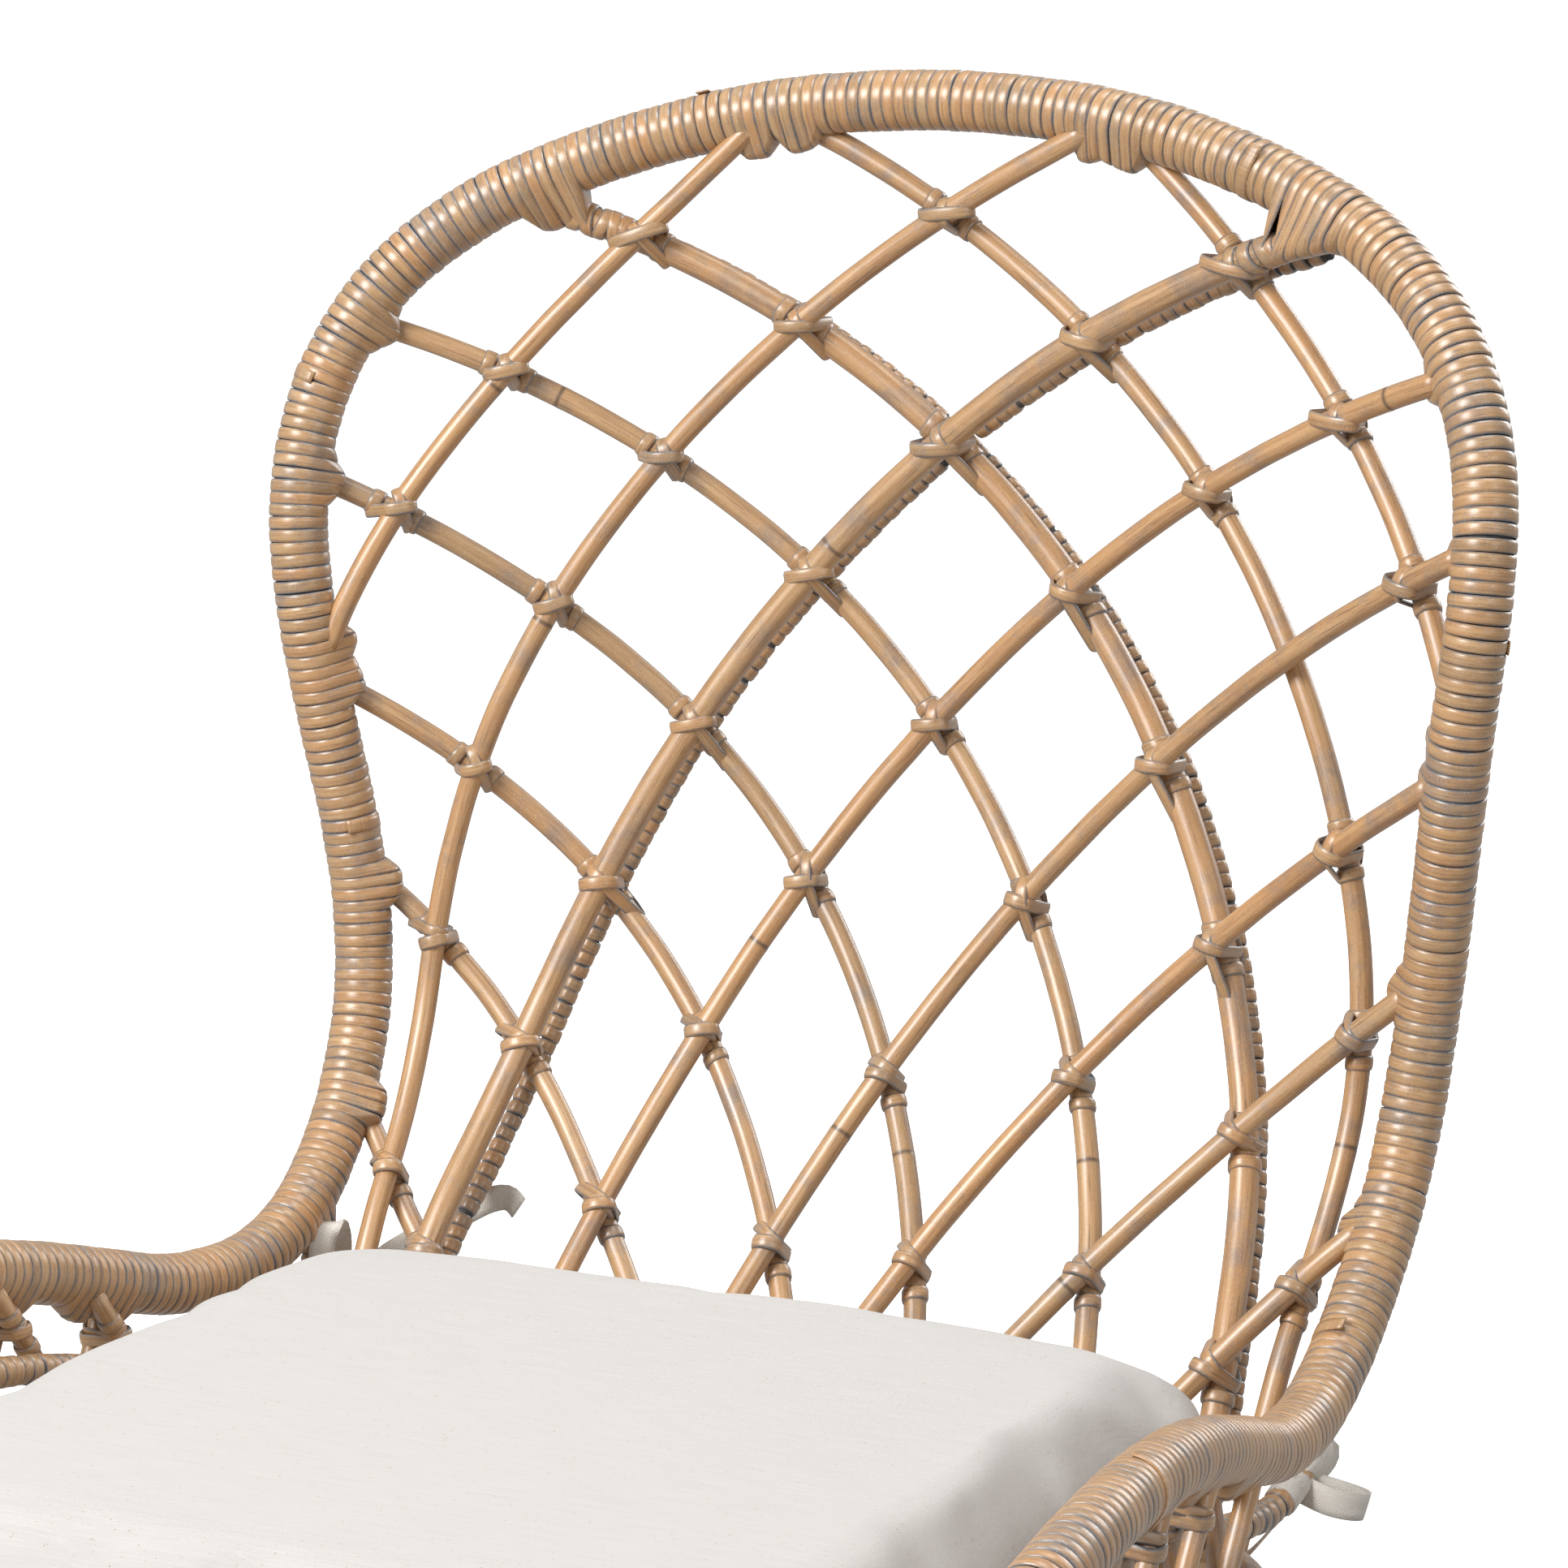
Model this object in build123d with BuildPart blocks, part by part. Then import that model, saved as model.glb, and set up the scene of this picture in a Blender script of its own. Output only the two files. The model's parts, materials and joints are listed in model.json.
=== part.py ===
from build123d import *
from math import cos, pi, sin
import os

# Rattan lounge armchair with a diamond-lattice bucket back, in millimetres.
# +X is the sitter's left-hand side, +Y points to the back, +Z up.
# The origin is on the floor, below the middle of the chair's plan.

# ---- overall sizes ----
seat_height = 420.0      # floor to the seam of the cushion at its rear corners
half_width = 296.0       # middle of the chair to the rim's centre line at its widest
back_height = 531.0      # seam of the cushion to the rim's centre line at the top
back_depth = 201.0       # seat's rear line to the rim's centre line at the top
arm_reach = 460.0        # seat's rear line to the front of the arms

# ---- poles and their bindings ----
rim_core_radius = 12.2
peel_thickness = 1.6
peel_width = 6.0
pole_radius = 5.3        # thin lattice poles
rib_radius = 6.7         # the two main ribs
rod_radius = 4.8         # wrapped rods that stiffen the main ribs
rod_sideways = 2.5       # how far the front rib's rod lies beside it, towards the lower right
arm_pole_radius = 4.6    # lattice under the arms
rail_radius = 6.6        # lower side rails
ring_radius = 12.0       # seat ring
bearer_radius = 8.0
deck_radius = 4.5
leg_radius = 14.0
stretcher_radius = 8.0
joint_gap = 0.3          # between a pole's coped end and the pole it meets
layer_gap = 0.7          # between two poles that cross
wrap_gap = 0.2           # between a binding and the pole inside it
knot_gap = 1.1           # between a knot's band and the curved pole inside it
knot_clear = 6.9         # from the surface of the pole that crosses to the middle of each band

# ---- seat ----
deck_drop = 60.0         # seam of the cushion down to the top of the deck
ring_inset_rear = 50.0   # seat ring's corners, before rounding, inside half_width
ring_inset_front = 8.0
ring_overhang = 10.0     # how far the ring's centre line runs past the front of the arms
ring_rear_corner = 70.0
ring_front_corner = 80.0
deck_count = 8
deck_first = 52.0        # seat's rear line to the middle of the first deck pole
deck_front_inset = 85.0  # front of the ring to the middle of the last one
cushion_gap = 0.3
cushion_thickness = 76.0
cushion_inset_rear = 19.0     # cushion's corners inside those of the ring
cushion_inset_front = 42.0
cushion_front_inset = 8.0     # front of the arms to the front of the cushion
cushion_rear = 6.0       # how far the cushion reaches behind the seat's rear line
cushion_corner = 48.0
cushion_edge = 26.0

# ---- legs ----
foot_height = 5.0
foot_radius = 11.0
foot_nail_radius = 1.5
foot_nail_length = 14.0
leg_housing = 2.0        # how deep the leg is notched round the seat ring
front_splay = (24.0, -24.0)
rear_splay = (18.0, 96.0)
side_stretcher_height = 130.0
cross_stretcher_height = 165.0
leg_wrap_length = 48.0
leg_wrap_drop = 8.0      # bottom of the ring down to the top of the leg's binding
bolt_radius = 2.5
bolt_head_radius = 5.5
bolt_head_height = 3.0
bolt_hole_gap = 0.1
bolt_end_reach = 1.0     # past the nut
bolt_hole_reach = 5.0    # past the ring, so that the hole's cutter goes right through
nut_radius = 4.5
nut_height = 4.0
nut_clearance = 1.2      # leans away with the leg
rear_leg_y = -38.0       # where the rear legs stand against the ring, from the seat's rear line

# ---- arms ----
rail_drop = 41.0         # arm's centre line down to the lower rail
rail_clear = 12.3        # rail's surface inwards to that of a pole under the arm's middle
rail_rise = 4.0          # how much nearer to the arm the rail runs at the front
rail_front_inset = 8.0   # and how far inwards it is there
crossing_first = 116.0   # first crossing of the arm lattice, from the seat's rear line
crossing_last = 146.0    # last one, from the front of the arms
crossing_count = 4
crossing_drop = 26.0     # arm's centre line down to the first row of crossings
arm_pole_lean = 0.6      # run along the arm for each millimetre of height
outer_layer = 4.0        # where the outer layer meets the arm, from its centre line
outer_seat = 11.5        # where it meets the ring, from its centre line
arm_layer_gap = 2.4      # between the two layers at the arm
seat_layer_gap = 0.4     # between them at the ring

# ---- cushion ties ----
tape_width = 12.5
tape_thickness = 1.2
tie_gap = 0.6
loop_half_long = 17.0
loop_half_short = 9.5
tail_length = 85.0
tie_lean = 20.0          # degrees that loop and tail lean out of level and upright

# ---- where the rim ends on the seat ring ----
rim_foot_inset = 26.6    # inwards from the ring's corner
rim_foot_back = 21.0     # backwards from the front of the ring
rim_foot_rise = 8.3      # above the ring's centre line

# ---- lines that the pieces are built from ----
ring_half_rear = half_width - ring_inset_rear
ring_half_front = half_width - ring_inset_front
ring_front = arm_reach + ring_overhang
ring_z = -deck_drop - 2 * deck_radius - ring_radius
foot_v = 100 * ring_z / back_height
rail_inset = rail_clear + arm_pole_radius + rail_radius
inner_layer = outer_layer - 2 * arm_pole_radius - arm_layer_gap
inner_seat = outer_seat - 2 * arm_pole_radius - seat_layer_gap
crossing_pitch = (arm_reach - crossing_first - crossing_last) / (crossing_count - 1)

# The hoop's centre line from the top of the back down one side to the front of the arm, short
# of its foot on the seat ring.
# Width in percent of half_width, depth in percent of back_depth behind the seat's rear line or
# of arm_reach in front of it, height in percent of back_height.
hoop = [
    (0, 100, 100), (30.4, 97.5, 98.7), (55.7, 90, 94.9), (76, 80, 90), (90.5, 68, 83),
    (98.3, 58, 73.8), (100, 51, 64), (98, 49.5, 53.9), (95.6, 52.5, 44.4), (93.2, 56.7, 35),
    (91.2, 58, 26), (89.9, 54, 17.3), (88.9, 42, 8.9), (88.2, 22.4, 1.9), (88.9, 0, -1.3),
    (90.9, -13, -0.8), (93.2, -27, 3.4), (96, -42, 7.2), (98.6, -57.6, 8.9), (101.4, -72.8, 9.4),
    (102.2, -86, 8), (99.5, -94.5, 3.8), (94, -97.8, -3.6),
]
neck = 13                # index of the lowest hoop point that belongs to the back

# Front view of the poles that rise to the sitter's left, in percent of half_width and
# back_height. The poles that rise the other way are their mirror images.
rising_poles = [
    [(-96.3, 48.2), (-86.1, 62.5), (-52.4, 86.3), (-29.7, 98.1)],
    [(-76.5, foot_v), (-77.5, 5.6), (-79, 24.1), (-62.5, 54.6), (-25.7, 79.3), (28.4, 98.3)],
    [(-68.5, foot_v), (-61.5, 15.1), (-39.9, 44), (0, 69.9), (71.6, 90.6)],
    [(-47.5, foot_v), (-18.2, 31.5), (47.3, 67.8), (93.2, 79.7)],
    [(-21, foot_v), (19.6, 31.3), (63.9, 54.6), (99.3, 66.3)],
    [(-2.5, foot_v), (30.7, 16), (74.7, 39.5), (96.3, 47.8)],
    [(16.5, foot_v), (62.5, 15.1), (91.9, 30.1)],
    [(48, foot_v), (75, 3), (90.6, 11.8)],
]
rib = 2                  # index of the main rib
untied = (4, 1)          # the one crossing without a knot: rising pole, then its partner's index
bowl_turn = 64.0         # percent of back_height where the bowl starts to sweep under the sitter
bowl_back = 0.98         # depth of the bowl's middle, as a share of back_depth
bowl_sweep = 0.57        # how far it sweeps forward down to the cushion, as a share of back_depth
bowl_power = 2.2
bowl_foot = (85.1, -1.5, foot_v)    # edge of the bowl at the seat ring, as a hoop point
route_step = 30.0        # spacing of the points that a bent pole's route is made of
rod_end = 0.965          # share of the main rib's length that its rod follows

# Route of a lower rail: first points away from the neck, then depths under the arm in percent
# of arm_reach.
rail_neck = [(0, 0, 0), (-7, -3, -34), (-13, -22, -56), (-14, -52, -61)]
rail_depths = (-9.8, -25, -41.3, -57, -72.8, -85.9)


def depth_of(percent):
    return percent / 100 * (back_depth if percent > 0 else arm_reach)


def hoop_point(point):
    u, d, v = point
    return Vector(u / 100 * half_width, depth_of(d), v / 100 * back_height)


def between(rows, key, value):
    """Row of numbers interpolated where column `key` has `value`; the column rises."""
    for low, high in zip(rows, rows[1:]):
        if value <= high[key]:
            break
    t = (value - low[key]) / (high[key] - low[key])
    return [a + (b - a) * t for a, b in zip(low, high)]


rim_foot = (ring_half_front - rim_foot_inset, rim_foot_back - ring_front, ring_z + rim_foot_rise)
hoop_rows = [tuple(hoop_point(p)) for p in hoop] + [rim_foot]
bowl_edge = [tuple(hoop_point(bowl_foot))] + hoop_rows[neck:0:-1]
arm_rows = hoop_rows[neck + 7:neck - 1:-1]      # from the front of the arm to the neck
frontmost = -ring_front - ring_radius
rib_stack = 2 * rib_radius + 1.5 * layer_gap + 2 * rod_radius    # back rib and its rod
rearmost = bowl_back * back_depth + rib_stack
shift_y = -(frontmost + rearmost) / 2      # brings the middle of the chair's plan to the origin


def bowl_depth(x, z):
    """Depth of the lattice's middle surface at a place in the front view."""
    edge_x, edge_y, edge_z = between(bowl_edge, 2, min(z, bowl_edge[-1][2]))
    low = max(0.0, bowl_turn - 100 * z / back_height) / bowl_turn
    middle = back_depth * (bowl_back - bowl_sweep * low ** bowl_power)
    return middle - (middle - edge_y) * (x / edge_x) ** 2


def bowl_point(x, z, proud):
    """Point `proud` in front of the lattice's middle surface, along its normal."""
    step = 2.0
    slope_x = (bowl_depth(x + step, z) - bowl_depth(x - step, z)) / (2 * step)
    slope_z = (bowl_depth(x, z + step) - bowl_depth(x, z - step)) / (2 * step)
    normal = Vector(slope_x, -1, slope_z).normalized()
    return Vector(x, bowl_depth(x, z), z) + normal * proud


def front_view(index, mirrored):
    side = -1 if mirrored else 1
    points = [(side * u / 100 * half_width, v / 100 * back_height) for u, v in rising_poles[index]]
    return Spline(*points)


def radius_of(index):
    return rib_radius if index == rib else pole_radius


def pole_route(index, mirrored, extra=0.0, start=0.0, end=1.0, sideways=0.0):
    """Centre line of a lattice pole, or of a rod `extra` behind and `sideways` beside it."""
    proud = radius_of(index) + layer_gap / 2
    proud = (-proud if mirrored else proud) - extra
    view = front_view(index, mirrored)
    count = max(3, round(view.length * (end - start) / route_step))
    shares = [start + (end - start) * i / count for i in range(count + 1)]
    places = [(view @ t, view % t) for t in shares]
    return [bowl_point(p.X + sideways * along.Y, p.Y - sideways * along.X, proud)
            for p, along in places]


def corner_radius(before, corner, after):
    """Largest radius that the two runs beside a corner leave room for."""
    turn = (corner - before).get_angle(after - corner)
    half_turn = turn / 2 * pi / 180
    run = min((corner - before).length, (after - corner).length)
    return min(0.45 * run / max(half_turn, 1e-3), 20000.0)


def rounded(points):
    """Straight runs joined by the largest tangent arcs that fit."""
    radii = [corner_radius(*points[i - 1:i + 2]) for i in range(1, len(points) - 1)]
    return FilletPolyline(*points, radius=radii)


def lift(points):
    """From the cushion's seam and the seat's rear line to the floor below the chair's middle."""
    return [p + Vector(0, shift_y, seat_height) for p in points]


def bent_tube(points, radius, bore=0.0):
    """Round pole, or tube, bent along a list of points."""
    path = rounded(lift(points))
    start = Plane(origin=path @ 0, z_dir=path % 0)
    with BuildPart() as tube:
        with BuildSketch(start):
            Circle(radius)
            if bore:
                Circle(bore, mode=Mode.SUBTRACT)
        sweep(path=path)
    return tube.part


def straight_tube(start, end, radius, bore=0.0):
    start, end = lift([start, end])
    with BuildPart() as tube:
        with BuildSketch(Plane(origin=start, z_dir=end - start)):
            Circle(radius)
            if bore:
                Circle(bore, mode=Mode.SUBTRACT)
        extrude(amount=(end - start).length)
    return tube.part


def mirrored_points(points):
    return [Vector(-p.X, p.Y, p.Z) for p in points]


def largest(shape):
    return sorted(shape.solids(), key=lambda s: s.volume)[-1]


def write(shape, name):
    shape.label = name
    export_step(shape, f"parts/{name}.step")


os.makedirs("parts", exist_ok=True)
sides = {"right": 1, "left": -1}

# ---- rim ----
half_hoop = [Vector(*row) for row in hoop_rows]
rim_points = mirrored_points(half_hoop[:0:-1]) + half_hoop
rim_radius = rim_core_radius + wrap_gap + peel_thickness
rim_cutter = bent_tube(rim_points, rim_radius + joint_gap)

# ---- seat ring ----
ring_rear = bowl_depth(0, ring_z)


def ring_half(y):
    """Half width of the seat ring's sides at a depth."""
    t = (ring_rear - y) / (ring_rear + ring_front)
    return ring_half_rear + (ring_half_front - ring_half_rear) * t


def ring_tube(radius):
    """Closed tube along the seat ring's centre line."""
    level = Plane.XY.offset(seat_height + ring_z)
    with BuildSketch(level, mode=Mode.PRIVATE) as plan:
        with BuildLine():
            Polyline((-ring_half_rear, shift_y + ring_rear), (ring_half_rear, shift_y + ring_rear),
                     (ring_half_front, shift_y - ring_front),
                     (-ring_half_front, shift_y - ring_front), close=True)
        make_face()
        fillet(plan.vertices().group_by(Axis.Y)[-1], ring_rear_corner)
        fillet(plan.vertices().group_by(Axis.Y)[0], ring_front_corner)
    loop = plan.sketch.wire()
    with BuildPart() as ring:
        with BuildSketch(Plane(origin=loop @ 0, z_dir=loop % 0)):
            Circle(radius)
        sweep(path=loop)
    return ring.part


ring = ring_tube(ring_radius)
ring_cutter = ring_tube(ring_radius + joint_gap)
rim_core = bent_tube(rim_points, rim_core_radius)
write(largest(rim_core - ring_cutter), "rim_core")
rim_wrap = bent_tube(rim_points, rim_radius, rim_core_radius + wrap_gap)
write(largest(rim_wrap - ring_cutter), "rim_wrap")

# ---- lattice poles: rising to the left in front, rising to the right behind ----
count = len(rising_poles)
for index in range(count):
    for layer, mirrored in (("front", False), ("back", True)):
        pole = bent_tube(pole_route(index, mirrored), radius_of(index))
        pole = largest(pole - rim_cutter - ring_cutter)
        number = count - index if mirrored else index + 1
        write(pole, f"lattice_{layer}_{number}")

# ---- wrapped rods behind the main ribs: past the crossing poles, or straight against the rib ----
rod_behind_front = rib_radius + layer_gap + 2 * pole_radius + layer_gap + rod_radius
rod_behind_back = rib_radius + layer_gap + rod_radius
rib_view = front_view(rib, False)
main_crossing = rib_view.param_at_point(Vector(0, rising_poles[rib][3][1] / 100 * back_height))
rod_stop = (2 * rod_radius + 3 * joint_gap) / rib_view.length    # lets the other rod through
rods = {
    "front_rib_rod_lower": (False, rod_behind_front, 0.0, main_crossing - rod_stop, rod_sideways),
    "front_rib_rod_upper": (False, rod_behind_front, main_crossing + rod_stop, rod_end,
                            rod_sideways),
    "back_rib_rod": (True, rod_behind_back, 0.0, rod_end, 0.0),
}
for name, (mirrored, behind, start, end, sideways) in rods.items():
    rod = bent_tube(pole_route(rib, mirrored, behind, start, end, sideways), rod_radius)
    write(largest(rod - rim_cutter - ring_cutter), name)


# ---- arms: lower rail and two layers of short crossing poles ----
def arm_at(y):
    """Point of the arm's centre line at a depth."""
    x, y, z = between(arm_rows, 1, y)
    return Vector(x, y, z)


neck_point = Vector(*hoop_rows[neck])
rail_start = [neck_point + Vector(*away) for away in rail_neck]
rail_middle = [arm_at(depth_of(d)) - Vector(rail_inset, 0, rail_drop) for d in rail_depths]
rail_turn = Vector(*hoop_rows[-4]) - Vector(rail_front_inset, 0, rail_drop - rail_rise)
rail_end = [rail_turn, Vector(*hoop_rows[-2])]
rail_points = rail_start + rail_middle + rail_end


def arm_pole(crossing_y, forward):
    """Ends of one short pole, from the arm's centre line down to the seat ring."""
    lean = -arm_pole_lean if forward else arm_pole_lean
    top_y = crossing_y - lean * crossing_drop
    top = arm_at(top_y)
    foot_y = top_y + lean * (top.Z - ring_z)
    top_side, foot_side = (outer_layer, outer_seat) if forward else (inner_layer, inner_seat)
    return (top + Vector(top_side, 0, 0), Vector(ring_half(foot_y) + foot_side, foot_y, ring_z))


for side, sign in sides.items():
    rail_line = rail_points if sign > 0 else mirrored_points(rail_points)
    rail = bent_tube(rail_line, rail_radius)
    write(largest(rail - rim_cutter), f"lower_rail_{side}")
    for number in range(crossing_count):
        for forward in (True, False):
            ends = arm_pole(-crossing_first - number * crossing_pitch, forward)
            ends = ends if sign > 0 else mirrored_points(ends)
            pole = largest(straight_tube(*ends, arm_pole_radius) - rim_cutter - ring_cutter)
            layer = "outer" if forward else "inner"
            write(pole, f"arm_{layer}_{side}_{number + 1}")


# ---- deck under the cushion ----
deck_z = -deck_drop - deck_radius
bearer_z = -deck_drop - 2 * deck_radius - bearer_radius
deck_pitch = (ring_front - deck_front_inset - deck_first) / (deck_count - 1)
deck_depths = [-deck_first - deck_pitch * number for number in range(deck_count)]
bearer = straight_tube(Vector(0, ring_rear, bearer_z), Vector(0, -ring_front, bearer_z),
                       bearer_radius)
write(largest(bearer - ring_cutter), "deck_bearer")
with BuildPart() as deck:
    for y in deck_depths:
        reach = ring_half(y) - inner_seat
        add(straight_tube(Vector(-reach, y, deck_z), Vector(reach, y, deck_z), deck_radius))
write(deck.part, "deck_poles")


# ---- legs, notched round the ring and bolted to it ----
def corner_point(half, end_y, radius, inwards, slope):
    """Point on the diagonal of a rounded front corner, `inwards` from the ring's centre line."""
    reach = (radius - inwards) / 2 ** 0.5
    return Vector(half - radius + slope + reach, end_y + radius - reach, ring_z)


seat_offset = ring_radius + leg_radius - leg_housing
flare = (ring_half_front - ring_half_rear) / (ring_rear + ring_front)
leg_seats = {
    "front": corner_point(ring_half_front, -ring_front, ring_front_corner, seat_offset,
                          -flare * ring_front_corner),
    "rear": Vector(ring_half(rear_leg_y) - seat_offset, rear_leg_y, ring_z),
}
leg_outward = {"front": Vector(1, -1, 0).normalized(), "rear": Vector(1, 0, 0)}
leg_splays = {"front": Vector(*front_splay), "rear": Vector(*rear_splay)}
floor_z = -seat_height


def leg_axis_at(place, z):
    """Point of a leg's axis at a height, on the +X side."""
    share = (ring_z - z) / (ring_z - floor_z)
    seat, splay = leg_seats[place], leg_splays[place]
    return Vector(seat.X + splay.X * share, seat.Y + splay.Y * share, z)


def leg_solid(place, radius, bore=0.0):
    """A leg's round pole cut level at the top of the ring and at the top of its foot."""
    reach = 2 * leg_radius
    tube = straight_tube(leg_axis_at(place, floor_z - reach),
                         leg_axis_at(place, ring_z + reach), radius, bore)
    low, high = seat_height + floor_z + foot_height, seat_height + ring_z + ring_radius
    slab_size = 4 * half_width
    slab = Pos(0, 0, (low + high) / 2) * Box(slab_size, slab_size, high - low)
    return tube & slab


def turned(shape, sign):
    return shape if sign > 0 else mirror(shape, about=Plane.YZ)


bolts, nuts, feet, wraps, ring_holes = [], [], [], [], []
stretcher_cutter = {}
for place in ("front", "rear"):
    seat = leg_seats[place]
    outward = leg_outward[place]
    head_base = seat + outward * (seat_offset + ring_radius)
    bolt_end = seat - outward * (leg_radius + nut_clearance + nut_height + bolt_end_reach)
    hole = straight_tube(head_base + outward * bolt_hole_reach, bolt_end,
                         bolt_radius + bolt_hole_gap)
    ring_holes.append(hole)
    head = straight_tube(head_base + outward * joint_gap,
                         head_base + outward * (joint_gap + bolt_head_height), bolt_head_radius)
    bolts.append(straight_tube(head_base + outward * joint_gap, bolt_end, bolt_radius) + head)
    nut_start = seat - outward * (leg_radius + nut_clearance)
    nuts.append(straight_tube(nut_start, nut_start - outward * nut_height, nut_radius,
                              bolt_radius + bolt_hole_gap))
    foot = leg_axis_at(place, floor_z)
    disc = straight_tube(foot, foot + Vector(0, 0, foot_height), foot_radius)
    nail = straight_tube(foot, foot + Vector(0, 0, foot_height + foot_nail_length),
                         foot_nail_radius)
    nail_hole = straight_tube(foot, foot + Vector(0, 0, foot_height + foot_nail_length + 1),
                              foot_nail_radius + bolt_hole_gap)
    feet.append(disc + nail)
    leg = leg_solid(place, leg_radius) - ring_cutter - hole - nail_hole
    stretcher_cutter[place] = leg_solid(place, leg_radius + joint_gap)
    wrap_z = ring_z - ring_radius - leg_wrap_drop
    wrap_top = leg_axis_at(place, wrap_z)
    wrap_end = leg_axis_at(place, wrap_z - leg_wrap_length)
    wraps.append(straight_tube(wrap_top, wrap_end, leg_radius + wrap_gap + peel_thickness,
                               leg_radius + wrap_gap))
    for side, sign in sides.items():
        write(largest(turned(leg, sign)), f"leg_{place}_{side}")

for hole in ring_holes:
    ring = ring - hole - turned(hole, -1)
write(largest(ring), "seat_ring")

# ---- stretchers ----
side_ends = [leg_axis_at(place, floor_z + side_stretcher_height) for place in ("front", "rear")]
side_stretcher = straight_tube(*side_ends, stretcher_radius)
side_stretcher = side_stretcher - stretcher_cutter["front"] - stretcher_cutter["rear"]
for side, sign in sides.items():
    write(largest(turned(largest(side_stretcher), sign)), f"stretcher_{side}")
for place in ("front", "rear"):
    end = leg_axis_at(place, floor_z + cross_stretcher_height)
    cross = straight_tube(end, mirrored_points([end])[0], stretcher_radius)
    cross = cross - stretcher_cutter[place] - turned(stretcher_cutter[place], -1)
    write(largest(cross), f"stretcher_{place}")


def both_sides(shapes):
    """One group of separate solids: each shape and its mirror image."""
    return Compound(children=[turned(shape, sign) for shape in shapes for sign in (1, -1)])


write(both_sides(bolts), "leg_bolts")
write(both_sides(nuts), "leg_nuts")
write(both_sides(feet), "feet")
write(both_sides(wraps), "leg_wraps")


# ---- knots: two bands of peel round the back pole at each crossing of the lattice ----
def crossing(front_index, back_index):
    """Where two poles cross in the front view, or None."""
    met = front_view(front_index, False).intersect(front_view(back_index, True))
    return Vector(*list(met)[0].center()) if met else None


def band(index, mirrored, point, away):
    """A short band of peel round one pole, `away` from a crossing along it."""
    view = front_view(index, mirrored)
    along = view.param_at_point(point) + away / view.length
    ends = [view @ (along + step * peel_width / 2 / view.length) for step in (-1, 1)]
    proud = radius_of(index) + layer_gap / 2
    start, end = [bowl_point(p.X, p.Y, -proud if mirrored else proud) for p in ends]
    bore = radius_of(index) + knot_gap
    return straight_tube(start, end, bore + peel_thickness, bore)


bands = []
for front_index in range(count):
    for back_index in range(count):
        point = crossing(front_index, back_index)
        if point is None or point.Y < -deck_drop / 2 or (front_index, back_index) == untied:
            continue
        ringed_front = back_index == rib       # the back rib has its rod against it
        ringed, passed = (front_index, back_index) if ringed_front else (back_index, front_index)
        reach = radius_of(passed) + knot_clear
        bands += [band(ringed, not ringed_front, point, way * reach) for way in (-1, 1)]
write(Compound(children=bands), "knot_bands")

# ---- cushion ----
cushion_half_rear = ring_half_rear - cushion_inset_rear
cushion_half_front = ring_half_front - cushion_inset_front
cushion_front = arm_reach - cushion_front_inset
with BuildPart() as cushion:
    bottom = seat_height - deck_drop + cushion_gap
    with BuildSketch(Plane.XY.offset(bottom)) as plan:
        with BuildLine():
            Polyline((-cushion_half_rear, shift_y + cushion_rear),
                     (cushion_half_rear, shift_y + cushion_rear),
                     (cushion_half_front, shift_y - cushion_front),
                     (-cushion_half_front, shift_y - cushion_front), close=True)
        make_face()
        fillet(plan.vertices(), cushion_corner)
    extrude(amount=cushion_thickness)
    fillet(cushion.faces().filter_by(Axis.Z).edges(), cushion_edge)
write(cushion.part, "cushion")


# ---- ties: cotton tape round each lower rail, with a loop and a loose tail ----
def tape_strip(start, end, sideways):
    """Flat piece of tape between two points, its width along `sideways`."""
    start, end = lift([start, end])
    along = (end - start).normalized()
    with BuildPart() as strip:
        with BuildSketch(Plane(origin=start, x_dir=sideways, z_dir=along)):
            Rectangle(tape_width, tape_thickness)
        extrude(amount=(end - start).length)
    return strip.part


def tape_loop(centre, sideways, along):
    """Flattened open loop of tape, long `along` one direction, its width along `sideways`."""
    origin = lift([centre - sideways * tape_width / 2])[0]
    with BuildPart() as loop:
        with BuildSketch(Plane(origin=origin, x_dir=along, z_dir=sideways)):
            Ellipse(loop_half_long, loop_half_short)
            Ellipse(loop_half_long - tape_thickness, loop_half_short - tape_thickness,
                    mode=Mode.SUBTRACT)
        extrude(amount=tape_width)
    return loop.part


lean = tie_lean * pi / 180
loop_long = Vector(0, cos(lean), -sin(lean))
tail_along = Vector(0, -sin(lean), -cos(lean))
sleeve_bore = rail_radius + tie_gap
sleeve_radius = sleeve_bore + tape_thickness
knot_at = (rail_points[1] + rail_points[2]) / 2
half_tape = (rail_points[2] - rail_points[1]).normalized() * tape_width / 2
sleeve = straight_tube(knot_at - half_tape, knot_at + half_tape, sleeve_radius, sleeve_bore)
loop_centre = knot_at + loop_long * (sleeve_radius + loop_half_long + tie_gap)
loop = tape_loop(loop_centre, Vector(1, 0, 0), loop_long)
tail_start = knot_at + Vector(sleeve_radius + tie_gap + tape_thickness / 2, 0, 0)
tail = tape_strip(tail_start, tail_start + tail_along * tail_length, loop_long)
for side, sign in sides.items():
    parts = [turned(piece, sign) for piece in (sleeve, loop, tail)]
    write(Compound(children=parts), f"tie_{side}")
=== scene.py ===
import json
import math
import random

import bpy
import numpy as np
from mathutils import Matrix, Vector, noise

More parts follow.
